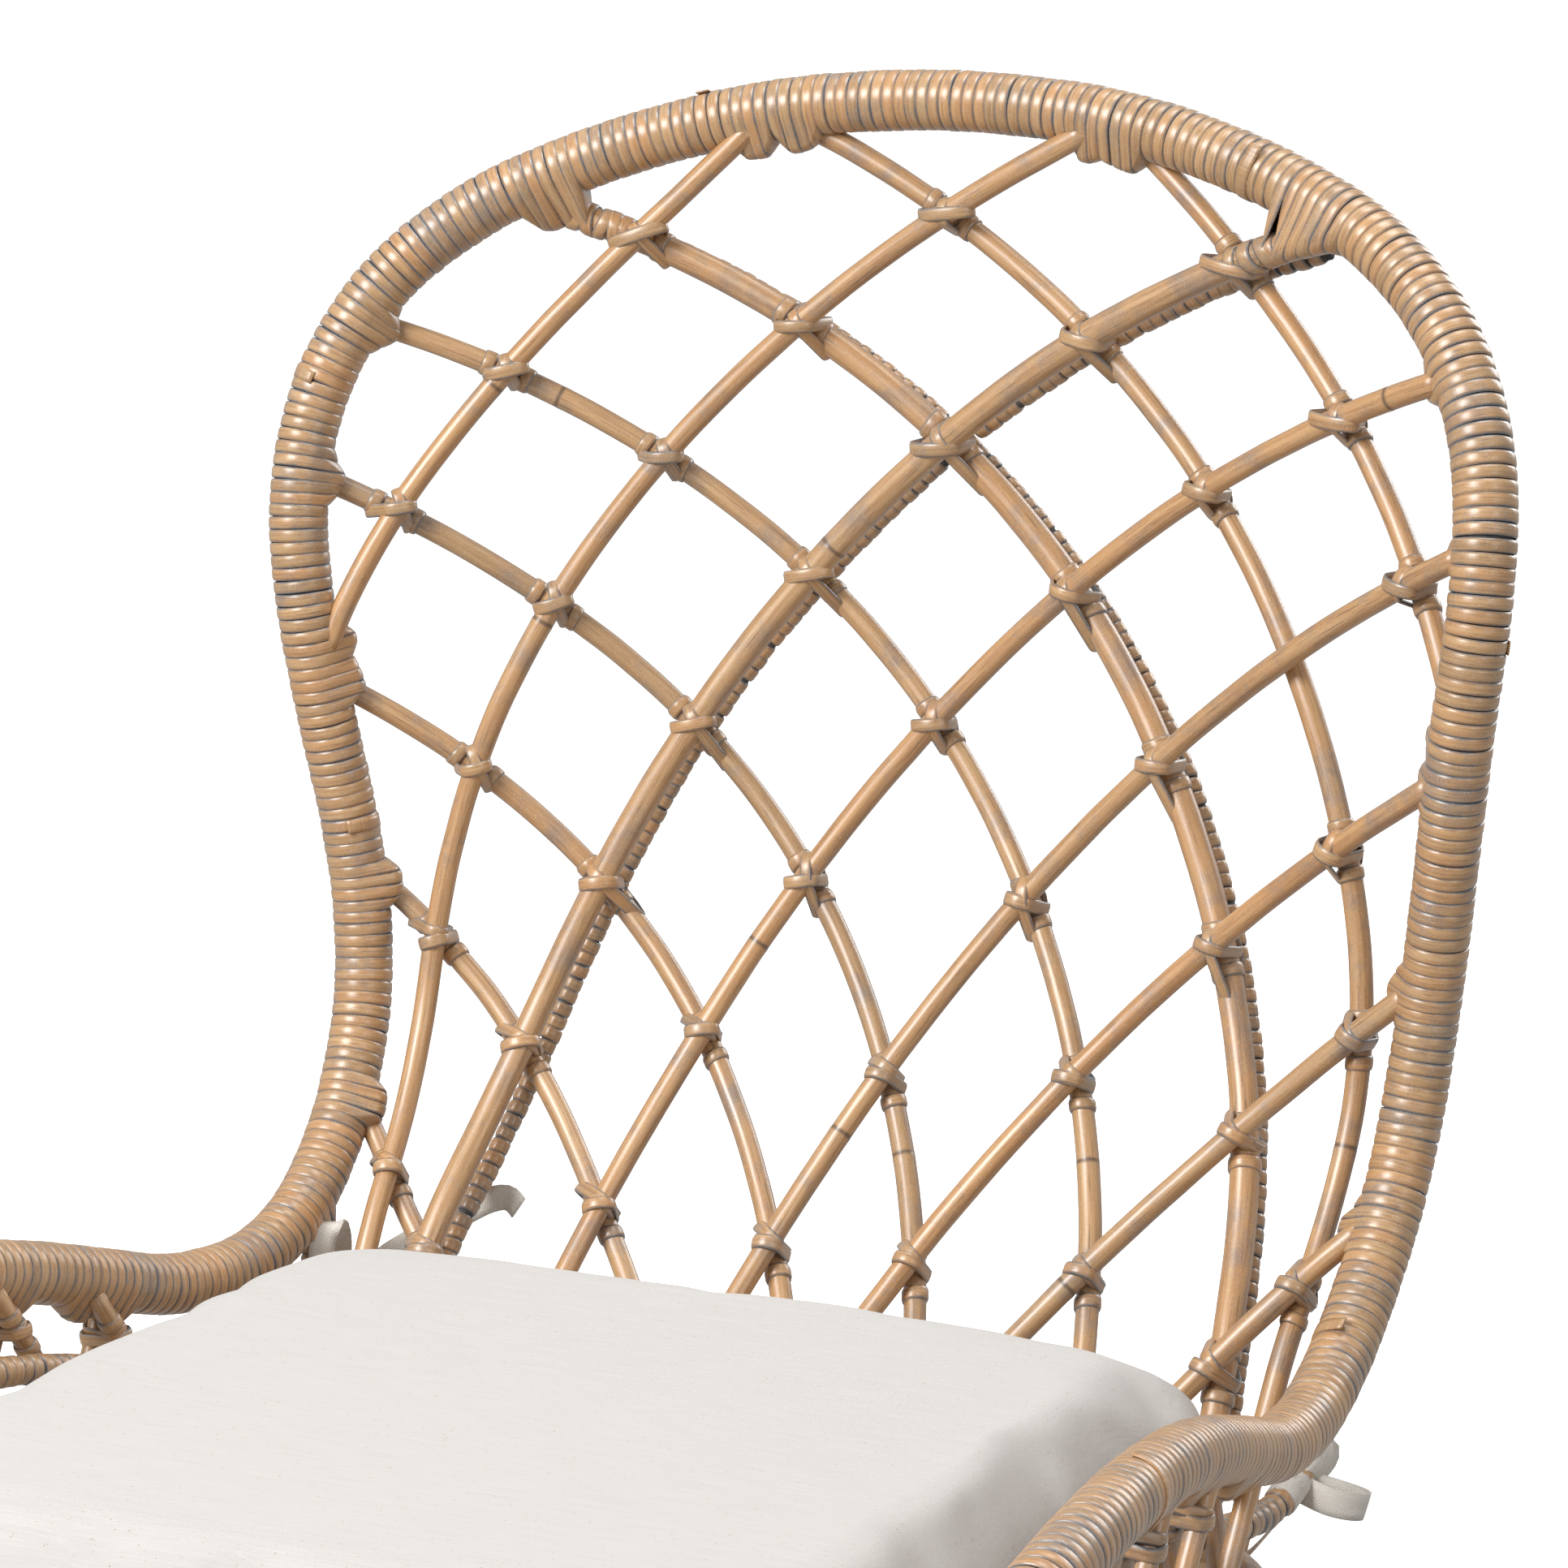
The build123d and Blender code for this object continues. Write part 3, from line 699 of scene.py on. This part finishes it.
# ---- steel and plastic ----
def worn(name, base, edge, roughness, metallic=0.0, scale=160.0):
    """A plain hard finish with scuffs."""
    made, tree, shader = material(name)
    scuffs = noise_of(tree, object_place(tree), scale, 5.0, 0.7)
    tree.links.new(ramp(tree, scuffs, ((0.4, base), (0.75, edge))), shader.inputs["Base Color"])
    rough = ramp(tree, scuffs, ((0.3, roughness), (0.8, min(1.0, roughness + 0.25))))
    tree.links.new(rough, shader.inputs["Roughness"])
    shader.inputs["Metallic"].default_value = metallic
    bumped(tree, shader, scuffs, 0.15, 0.0003)
    return made


steel_finish = worn("zinc_plated_steel", (0.55, 0.55, 0.54), (0.38, 0.37, 0.36), 0.32, 1.0)
plastic_finish = worn("foot_plastic_brown", (0.10, 0.075, 0.055), (0.16, 0.13, 0.10), 0.5)


def paint(obj, finish):
    obj.data.materials.clear()
    obj.data.materials.append(finish)


# ---- poles of the lattice ----
lines = {}
for number in range(1, pole_count + 1):
    for layer in ("front", "back"):
        name = f"lattice_{layer}_{number}"
        radius = rib_radius if name in ribs else pole_radius
        lines[name] = (bent_line(name, radius), radius)
        shell = Shell()
        round_pole(shell, random.Random(name), lines[name][0], radius)
        shell.piece(f"pole_{layer}_{number}", "frame", pole_finish, "rattan_pole", name)

# ---- short poles under the arms ----
arm_lines = {}
for side in ("left", "right"):
    for layer in ("outer", "inner"):
        for number in range(1, arm_pole_count + 1):
            name = f"arm_{layer}_{side}_{number}"
            arm_lines[name] = straight_line(name, arm_pole_radius)
            shell = Shell()
            round_pole(shell, random.Random(name), arm_lines[name], arm_pole_radius, 14)
            shell.piece(f"arm_pole_{layer}_{side}_{number}", "frame", pole_finish, "rattan_pole",
                        name)


# ---- rods behind the ribs, and the lower rails: a core and its winding ----
def wrapped(name, line, radius):
    rng = random.Random(name)
    core = Shell()
    round_pole(core, rng, line, radius - peel_thickness - wrap_gap, 14, 0.0)
    # the core is near black: painted shade in the gaps between the turns
    core.piece(name + "_core", "frame", painted_shade_core, "rattan_pole", name)
    turns = Shell()
    wind(turns, rng, line, radius - peel_thickness, thin_pitch, thin_peel_width,
         peel_thickness, count=20, tilts=(0.03, 0.16), lifts=(-0.0002, 0.0004), slips=0.12)
    turns.piece(name + "_winding", "frame", peel_finish, "peel_wrap")


for name in ("front_rib_rod_lower", "front_rib_rod_upper", "back_rib_rod"):
    wrapped(name, bent_line(name, rod_radius), rod_radius)
rail_lines = {}
for side in ("left", "right"):
    name = f"lower_rail_{side}"
    rail_lines[side] = bent_line(name, rail_radius, lambda points: points[:, 1].argmax())
    wrapped(name, rail_lines[side], rail_radius)

# ---- rim ----
rim_line = bent_line("rim_core", rim_core_radius)
joints = []


def meets_rim(tip):
    return np.linalg.norm(rim_line.at(rim_line.nearest(tip)) - tip) < near_rim


def add_joints(line, radius, kind):
    """Joints at whichever ends of a pole meet the rim."""
    for from_start in (True, False):
        if meets_rim(line.at(0.0 if from_start else line.length)):
            joints.append(kind(line, radius, from_start))


for name, (line, radius) in lines.items():
    add_joints(line, radius, rib_joint if name in ribs else pole_joint)
for line in arm_lines.values():
    add_joints(line, arm_pole_radius, pole_joint)
for line in rail_lines.values():
    add_joints(line, rail_radius, pole_joint)
shell = Shell()
wind(shell, random.Random("rim"), rim_line, rim_wrap_radius, rim_pitch, rim_peel_width,
     peel_thickness, joints, count=40)
shell.piece("rim_winding", "frame", peel_finish, "peel_wrap", "rim_wrap")
# the rim's core is near black: painted shade in the gaps between the turns
paint(frame["nodes"]["rim_core"], painted_shade_core)


# ---- knots ----
def crossing(first, second, limit, step=0.002):
    """The places on two lines where they are nearest, if that is within a limit."""
    on_first = np.arange(0.0, first.length, step)
    on_second = np.arange(0.0, second.length, step)
    gaps = np.linalg.norm(first.many(on_first)[:, None] - second.many(on_second)[None], axis=2)
    i, j = np.unravel_index(gaps.argmin(), gaps.shape)
    return (on_first[i], on_second[j]) if gaps[i, j] < limit else None


def rod_in_plane(point, direction, radius, centre, normal):
    """A pole cut by a band's plane, as taut_loop takes it."""
    slant = max(abs(direction @ normal), knot_least_slant)
    signed = slant if direction @ normal >= 0 else -slant
    hit = point + direction * ((centre - point) @ normal) / signed
    flat = direction - normal * (direction @ normal)
    if np.linalg.norm(flat) < 1e-4:
        flat = across(normal)[0]
    offset = hit - centre
    offset = offset - normal * (offset @ normal)
    return (offset, radius / slant, radius, unit(flat))


def knot(shell, rng, front, back, places):
    """Peel lashed round a crossing: two loops round both poles, and two rings on the back one."""
    front_line, front_radius = front
    back_line, back_radius = back
    front_point, back_point = front_line.at(places[0]), back_line.at(places[1])
    front_way, back_way = front_line.along(places[0]), back_line.along(places[1])
    centre = (front_point + back_point) / 2
    out = unit(front_point - back_point)
    both = front_way + back_way
    upright = unit(both if both[2] > 0 else -both)
    upright = unit(upright - out * (upright @ out))
    level = np.cross(out, upright)
    turn = rng.uniform(-0.16, 0.16)
    tall = upright * math.cos(turn) + level * math.sin(turn)
    half_angle = math.acos(min(1.0, abs(front_way @ upright)))
    lean = rng.uniform(-0.14, 0.08)
    if half_angle < steep_crossing:
        lean -= half_angle + steep_lean
    elif max(front_radius, back_radius) > pole_radius:
        lean -= rib_knot_lean
    wide = level * math.cos(lean) + upright * math.sin(lean)
    for normal, shift, lift in ((tall, rng.uniform(-0.001, 0.002), over_lift),
                                (wide, rng.uniform(-0.0045, -0.0025), under_lift)):
        middle = centre + normal * shift
        rods = [rod_in_plane(front_point, front_way, front_radius, middle, normal),
                rod_in_plane(back_point, back_way, back_radius, middle, normal)]
        taut_loop(shell, rng, middle, normal, rods, knot_width * rng.uniform(0.92, 1.1),
                  knot_thickness, 30, 0.0, lift)
    for way in (-1, 1):
        spot = places[1] + way * (front_radius + rng.uniform(0.0042, 0.0056))
        along = back_line.along(spot)
        taut_loop(shell, rng, back_line.at(spot), along, [disc(back_radius, normal=along)],
                  knot_width * rng.uniform(0.95, 1.1), knot_thickness, 20, 0.1, under_lift)


shell = Shell()
rng = random.Random("knots")
deck_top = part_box("cushion")[0].z
rib_knots = {name: [] for name in ribs}
for number in range(1, pole_count + 1):
    for other in range(1, pole_count + 1):
        names = (f"lattice_front_{number}", f"lattice_back_{other}")
        if set(names) == untied:
            continue
        front, back = lines[names[0]], lines[names[1]]
        met = crossing(front[0], back[0], front[1] + back[1] + tied_gap)
        if met and front[0].at(met[0])[2] > deck_top:
            knot(shell, rng, front, back, met)
            for name, place in zip(names, met):
                if name in ribs:
                    rib_knots[name].append(place)
shell.piece("lattice_knots", "frame", peel_finish, "peel_knot", "knot_bands")

# each rib is wound from the rim to its first knot, at whichever of its ends meets the rim
shell = Shell()
for name in ribs:
    line = lines[name][0]
    for tip, first, last in (
            (line.at(0.0), collar_start, min(rib_knots[name]) - collar_gap),
            (line.at(line.length), max(rib_knots[name]) + collar_gap,
             line.length - collar_start)):
        if meets_rim(tip) and last - first > thin_pitch:
            wind(shell, random.Random(name), Path(line.many(np.linspace(first, last, 9))),
                 rib_radius + wrap_gap, thin_pitch, thin_peel_width, peel_thickness, count=24,
                 tilts=(0.2, 0.45), lifts=(-0.0002, 0.0003))
shell.piece("rib_collars", "frame", peel_finish, "peel_wrap")

shell = Shell()
rng = random.Random("arm knots")
for side in ("left", "right"):
    for number in range(1, arm_pole_count + 1):
        for other in range(1, arm_pole_count + 1):
            outer = arm_lines[f"arm_outer_{side}_{number}"]
            inner = arm_lines[f"arm_inner_{side}_{other}"]
            met = crossing(outer, inner, 2 * arm_pole_radius + tied_gap)
            if met:
                knot(shell, rng, (outer, arm_pole_radius), (inner, arm_pole_radius), met)
shell.piece("arm_knots", "frame", peel_finish, "peel_knot")

# ---- bindings at the tops of the legs ----
end_band = 0.011          # the points this near to a binding's end give the middle of that end
shell = Shell()
rng = random.Random("legs")
wrap_points = mesh_points(frame["nodes"]["leg_wraps"].data)
middle_y = (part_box("leg_wraps")[0].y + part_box("leg_wraps")[1].y) / 2
for x_side in (-1, 1):
    for y_side in (-1, 1):
        on_side = wrap_points[:, 0] * x_side > 0
        own = wrap_points[on_side & ((wrap_points[:, 1] - middle_y) * y_side > 0)]
        middle = own.mean(axis=0)
        ends = []
        for extreme in (own[:, 2].min(), own[:, 2].max()):
            ring = own[np.abs(own[:, 2] - extreme) < end_band]
            ends.append((ring.min(axis=0) + ring.max(axis=0)) / 2)
        axis = unit(ends[1] - ends[0])
        reach = (own - middle) @ axis
        line = Path([middle + axis * reach.min(), middle + axis * reach.max()])
        wind(shell, rng, line, leg_radius + wrap_gap, rim_pitch, rim_peel_width,
             peel_thickness, count=32)
shell.piece("leg_windings", "frame", peel_finish, "peel_wrap", "leg_wraps")

# ---- carried-over frame pieces ----
for name, obj in frame["nodes"].items():
    if name.startswith("leg_front") or name.startswith("leg_rear"):
        paint(obj, upright_finish)
    elif name in ("stretcher_left", "stretcher_right", "deck_bearer"):
        paint(obj, lengthwise_finish)
    elif name in ("stretcher_front", "stretcher_rear", "deck_poles", "seat_ring"):
        paint(obj, crosswise_finish)
    elif name in ("leg_bolts", "leg_nuts"):
        paint(obj, steel_finish)
    elif name == "feet":
        paint(obj, plastic_finish)

# ---- cushion ----
pad_shrink = (0.975, 0.975, 0.86)   # size before it swells, in shares of its CAD solid
pad_voxel = 0.005
crown_height = 0.013      # how far the middle of the top stands above its edge
crown_power = 2.6         # how far out the crown stays nearly level
edge_drop = 0.006         # how far the top sinks at its edge
seam_rise = 0.004         # from the pad's middle height to its seam
seam_depth = 0.0022
seam_half = 0.0022
pucker_depth = 0.0022
pucker_reach = 0.016      # how far above and below the seam the cloth puckers
pucker_rates = (21.0, 22.0)   # how often in a radian round the pad, and in a metre up
broad_depth = 0.0018      # of the slight unevenness all over
broad_rate = 9.0
pad_clear = 0.0010        # from the pad's furthest points to its CAD box
corner_pull = 0.004       # how far the corners stand out, where the sides pull in between them
corner_power = 3
under_clear = 0.0008      # from the pad's underside to the CAD solid's
most_proud = 0.008        # furthest that the crown may stand above it


def applied(obj):
    """Replace an object's mesh with what its modifiers make of it."""
    evaluated = obj.evaluated_get(bpy.context.evaluated_depsgraph_get())
    mesh = bpy.data.meshes.new_from_object(evaluated)
    obj.modifiers.clear()
    obj.data = mesh


def modified(obj, kind, **settings):
    """Apply one modifier to an object's mesh."""
    modifier = obj.modifiers.new(kind.lower(), kind)
    for key, value in settings.items():
        setattr(modifier, key, value)
    applied(obj)


def swell(obj, pressure=4.0, most=0.013, frames=20):
    """Blow the pad up as cloth, each point moving no further than a limit."""
    before = mesh_points(obj.data)
    cloth = obj.modifiers.new("cloth", "CLOTH")
    cloth.settings.use_pressure = True
    cloth.settings.uniform_pressure_force = pressure
    cloth.settings.effector_weights.gravity = 0.0
    cloth.point_cache.frame_start = 1
    cloth.point_cache.frame_end = frames
    for step in range(1, frames + 1):
        bpy.context.scene.frame_set(step)
    applied(obj)
    bpy.context.scene.frame_set(1)
    moved = mesh_points(obj.data) - before
    lengths = np.linalg.norm(moved, axis=1)
    share = np.minimum(1.0, most / np.maximum(lengths, 1e-9))
    set_points(obj.data, before + moved * share[:, None])


def sewn(points, normals, middle, half):
    """The pad's points with its crown, its sunk seam and the puckers beside that."""
    crown = np.clip(1 - np.abs(((points - middle) / half)[:, :2]) ** crown_power, 0, 1)
    top = np.clip(normals[:, 2], 0, 1)
    sideways = np.sqrt(np.clip(1 - normals[:, 2] ** 2, 0, 1))
    from_seam = points[:, 2] - (middle[2] + seam_rise)
    seam = np.exp(-(from_seam / seam_half) ** 2) * sideways
    moves = np.zeros(len(points))
    for i, point in enumerate(points):
        broad = noise.noise(Vector(point) * broad_rate) * broad_depth
        near_seam = bell(from_seam[i], pucker_reach) * sideways[i]
        around = math.atan2(point[1] - middle[1], point[0] - middle[0])
        pucker = noise.noise(Vector((around * pucker_rates[0], point[2] * pucker_rates[1], 0.0)))
        moves[i] = broad + pucker * pucker_depth * near_seam
    moves += (crown_height * crown.prod(axis=1) - edge_drop) * top - seam_depth * seam
    return points + normals * moves[:, None]


def fitted(points, low, high):
    """The pad's points spread to its CAD box, with the corners drawn out."""
    middle, half = (low + high) / 2, (high - low) / 2
    pad_low, pad_high = points.min(axis=0), points.max(axis=0)
    spread = (high - low - 2 * pad_clear) / (pad_high - pad_low)
    flat = middle[:2] + (points - (pad_low + pad_high) / 2)[:, :2] * spread[:2]
    corner = np.abs((flat - middle[:2]) / half[:2]).prod(axis=1) ** corner_power
    flat += np.sign(flat - middle[:2]) * (corner_pull * corner)[:, None]
    height = np.clip(points[:, 2], low[2] + under_clear, high[2] + most_proud)
    return np.column_stack((flat, height))


def make_cushion():
    low, high = (np.array(corner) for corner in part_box("cushion"))
    middle, half = (low + high) / 2, (high - low) / 2
    obj = placed("cushion_pad", frame["nodes"]["cushion"].data.copy())
    set_points(obj.data, middle + (mesh_points(obj.data) - middle) * np.array(pad_shrink))
    modified(obj, "REMESH", mode="VOXEL", voxel_size=pad_voxel)
    swell(obj)
    modified(obj, "SMOOTH", factor=0.5, iterations=12)
    modified(obj, "SUBSURF", levels=1, render_levels=1)
    points = sewn(mesh_points(obj.data), mesh_points(obj.data, "normal"), middle, half)
    set_points(obj.data, fitted(points, low, high))
    obj.data.polygons.foreach_set("use_smooth", [True] * len(obj.data.polygons))
    paint(obj, canvas_finish)
    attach(obj, "cushion")
    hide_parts("cushion")


make_cushion()

# ---- ties ----
tape_width = 0.0125
tape_thickness = 0.0011
tape_row = 0.003          # from one row of a tape's points to the next
tape_edge = 0.05          # where a tape's middle lies across the herringbone
tape_profile = ((-0.5, -0.4), (-0.2, -0.5), (0.2, -0.5), (0.5, -0.4),
                (0.5, 0.4), (0.2, 0.5), (-0.2, 0.5), (-0.5, 0.4))
tie_clear = 0.0012        # from a rail to the tape's middle
tie_shifts = (-0.004, 0.004)  # the two turns of a tie, each side of its middle
tie_skew = 0.001          # how far each of them wanders along the rail


def tape(shell, points, sideways, width=tape_width, thickness=tape_thickness, tint=0.5):
    """Flat tape along a smooth line, its width leaning from one direction to another."""
    line = Path(smoothed(Path(points), tape_row))
    rows = max(4, round(line.length / tape_row))
    verts, grain = [], []
    for row in range(rows + 1):
        share = row / rows
        place = share * line.length
        along = line.along(place)
        side = np.array(sideways[0]) * (1 - share) + np.array(sideways[1]) * share
        side = unit(side - along * (side @ along))
        thick = np.cross(along, side)
        for beside, above in tape_profile:
            verts.append(line.at(place) + side * beside * width + thick * above * thickness)
            grain.append((beside * width + tape_edge, 0.0, place))
    shell.add(verts, tube_faces(rows + 1, len(tape_profile)), grain, tint)


def ringed(centre, along, reach, start, sweep, steps, drift):
    """Points of a turn round a line. Drift says how far along it each share of the turn lies."""
    first_way, second_way = across(along)
    points = []
    for k in range(steps + 1):
        share = k / steps
        turn = start + sweep * share
        points.append(centre + (first_way * math.cos(turn) + second_way * math.sin(turn)) * reach
                      + along * drift(share))
    return points


def make_tie(side, knot_near, loops, tails):
    """Tape knotted round a lower rail, with standing loops and loose tails.

    Loops and tails are points from the knot's middle, and which way the tape's width lies."""
    line = rail_lines[side]
    place = line.nearest(np.array(knot_near))
    centre, along = line.at(place), line.along(place)
    shell = Shell()
    for shift in tie_shifts:
        ring = ringed(centre + along * shift, along, rail_radius + tie_clear, 0.0, 2 * math.pi,
                      17, lambda share: tie_skew * math.sin(2 * math.pi * share))
        tape(shell, ring, (along, along))
    for points, width_along in loops + tails:
        tape(shell, [centre + np.array(point) for point in points], width_along)
    shell.piece(f"tie_tape_{side}", "frame", tape_finish, "cotton_tape", f"tie_{side}")


up, level, back = (0.25, 0.1, 0.96), (0.7, 0.7, 0.0), (0.0, 1.0, 0.2)
make_tie("left", (-0.258, 0.162, 0.388),
         [([(0.003, 0.008, 0.004), (0.004, 0.002, 0.014), (0.005, -0.001, 0.026),
            (0.006, 0.003, 0.037), (0.007, 0.010, 0.037), (0.007, 0.013, 0.024),
            (0.004, 0.012, 0.004)], (level, level)),
          ([(0.001, 0.012, -0.008), (0.005, 0.016, 0.0), (0.004, 0.013, 0.009)],
           (level, level))],
         [([(0.002, 0.016, 0.002), (0.010, 0.046, 0.009), (0.034, 0.060, 0.025),
            (0.057, 0.068, 0.039), (0.068, 0.070, 0.042), (0.074, 0.067, 0.037)],
           (up, up))])
make_tie("right", (0.254, 0.150, 0.362),
         [([(0.004, 0.007, -0.002), (0.017, 0.002, -0.004), (0.029, 0.003, -0.005),
            (0.034, 0.009, -0.006), (0.028, 0.015, -0.006), (0.015, 0.013, -0.003),
            (0.003, 0.010, 0.0)], (up, up)),
          ([(0.006, 0.009, 0.003), (0.012, 0.010, 0.010), (0.014, 0.010, 0.018),
            (0.009, 0.011, 0.021), (0.004, 0.010, 0.013), (0.002, 0.009, 0.004)],
           (level, level))],
         [([(-0.001, 0.010, -0.006), (-0.008, 0.009, -0.018), (-0.020, 0.006, -0.034),
            (-0.034, 0.002, -0.046), (-0.044, 0.0, -0.060)], (back, back))])

# ---- loose ends of peel on the rim ----
end_places = (0.12, 0.29, 0.37, 0.455, 0.56, 0.66, 0.78, 0.9)   # shares of the rim's length
end_lift = 0.0007         # from the winding to a loose strip on it
end_sweep = 2.4           # how much of a turn it makes, in radians
end_drift = 0.0025        # how far it runs along the rim meanwhile


def loose_end(shell, rng, place, first_turn, sweep, hang):
    """The end of a strip: part of a turn round the rim, and then a tail that lifts away."""
    centre, along = rim_line.at(place), rim_line.along(place)
    points = ringed(centre, along, rim_wrap_radius + peel_thickness + end_lift, first_turn, sweep,
                    8, lambda share: end_drift * share)
    leaving = unit(points[-1] - points[-2])
    points += [points[-1] + leaving * hang * 0.5, points[-1] + leaving * hang]
    tape(shell, points, (along, along), rim_peel_width, peel_thickness, rng.random())


shell = Shell()
rng = random.Random("loose ends")
for share in end_places:
    loose_end(shell, rng, share * rim_line.length, rng.uniform(0, 6),
              rng.choice((-end_sweep, end_sweep)), rng.uniform(0.003, 0.008))
shell.piece("rim_loose_ends", "frame", peel_finish, "peel_wrap")

# ---- studio ----
floor_reach = 400.0       # each way, so that its edge stays out of view
aimed_at = (0.0, 0.0, 0.6)


def make_floor():
    mesh = bpy.data.meshes.new("floor")
    mesh.from_pydata([(x * floor_reach, y * floor_reach, 0)
                      for x, y in ((-1, -1), (1, -1), (1, 1), (-1, 1))], [], [(0, 1, 2, 3)])
    obj = placed("floor", mesh)
    made, _, shader = material("floor_white")
    shader.inputs["Base Color"].default_value = (*grey(0.92), 1)
    shader.inputs["Roughness"].default_value = 0.9
    shader.inputs["Emission Color"].default_value = (*grey(1.0), 1)
    shader.inputs["Emission Strength"].default_value = 0.75
    mesh.materials.append(made)
    obj.visible_diffuse = False
    obj.visible_glossy = False


def make_light(name, place, size, power):
    data = bpy.data.lights.new(name, "AREA")
    data.shape = "DISK"
    data.size = size
    data.energy = power
    obj = placed(name, data)
    obj.location = place
    obj.rotation_euler = (Vector(aimed_at) - Vector(place)).to_track_quat("-Z", "Y").to_euler()


make_floor()
make_light("key", (-1.2, -2.4, 2.6), 1.7, 120.0)
make_light("fill", (2.6, -1.2, 1.7), 1.2, 9.0)
make_light("top", (0.3, 0.6, 3.0), 1.2, 23.0)
make_light("behind", (0.9, 2.8, 1.7), 1.4, 22.0)

world = bpy.data.worlds.new("studio")
bpy.context.scene.world = world
world.use_nodes = True
background = world.node_tree.nodes["Background"]
background.inputs["Color"].default_value = (*grey(1.0), 1)
background.inputs["Strength"].default_value = 0.40
bpy.context.scene.view_settings.view_transform = "Standard"

# ---- camera: in front, to the sitter's left and above the seat ----
camera_place = (1.0114, -1.8932, 1.1116)
ahead = Vector((-0.43386, 0.87985, -0.19394)).normalized()
right = Vector((0.89688, 0.44225, 0.0)).normalized()

camera_data = bpy.data.cameras.new("camera")
camera_data.sensor_width = 36.0
camera_data.lens = 121.1
camera_data.clip_end = 1500.0
camera = placed("camera", camera_data)
turned = Matrix((right, right.cross(ahead), -ahead)).transposed().to_4x4()
camera.matrix_world = Matrix.Translation(camera_place) @ turned
bpy.context.scene.camera = camera
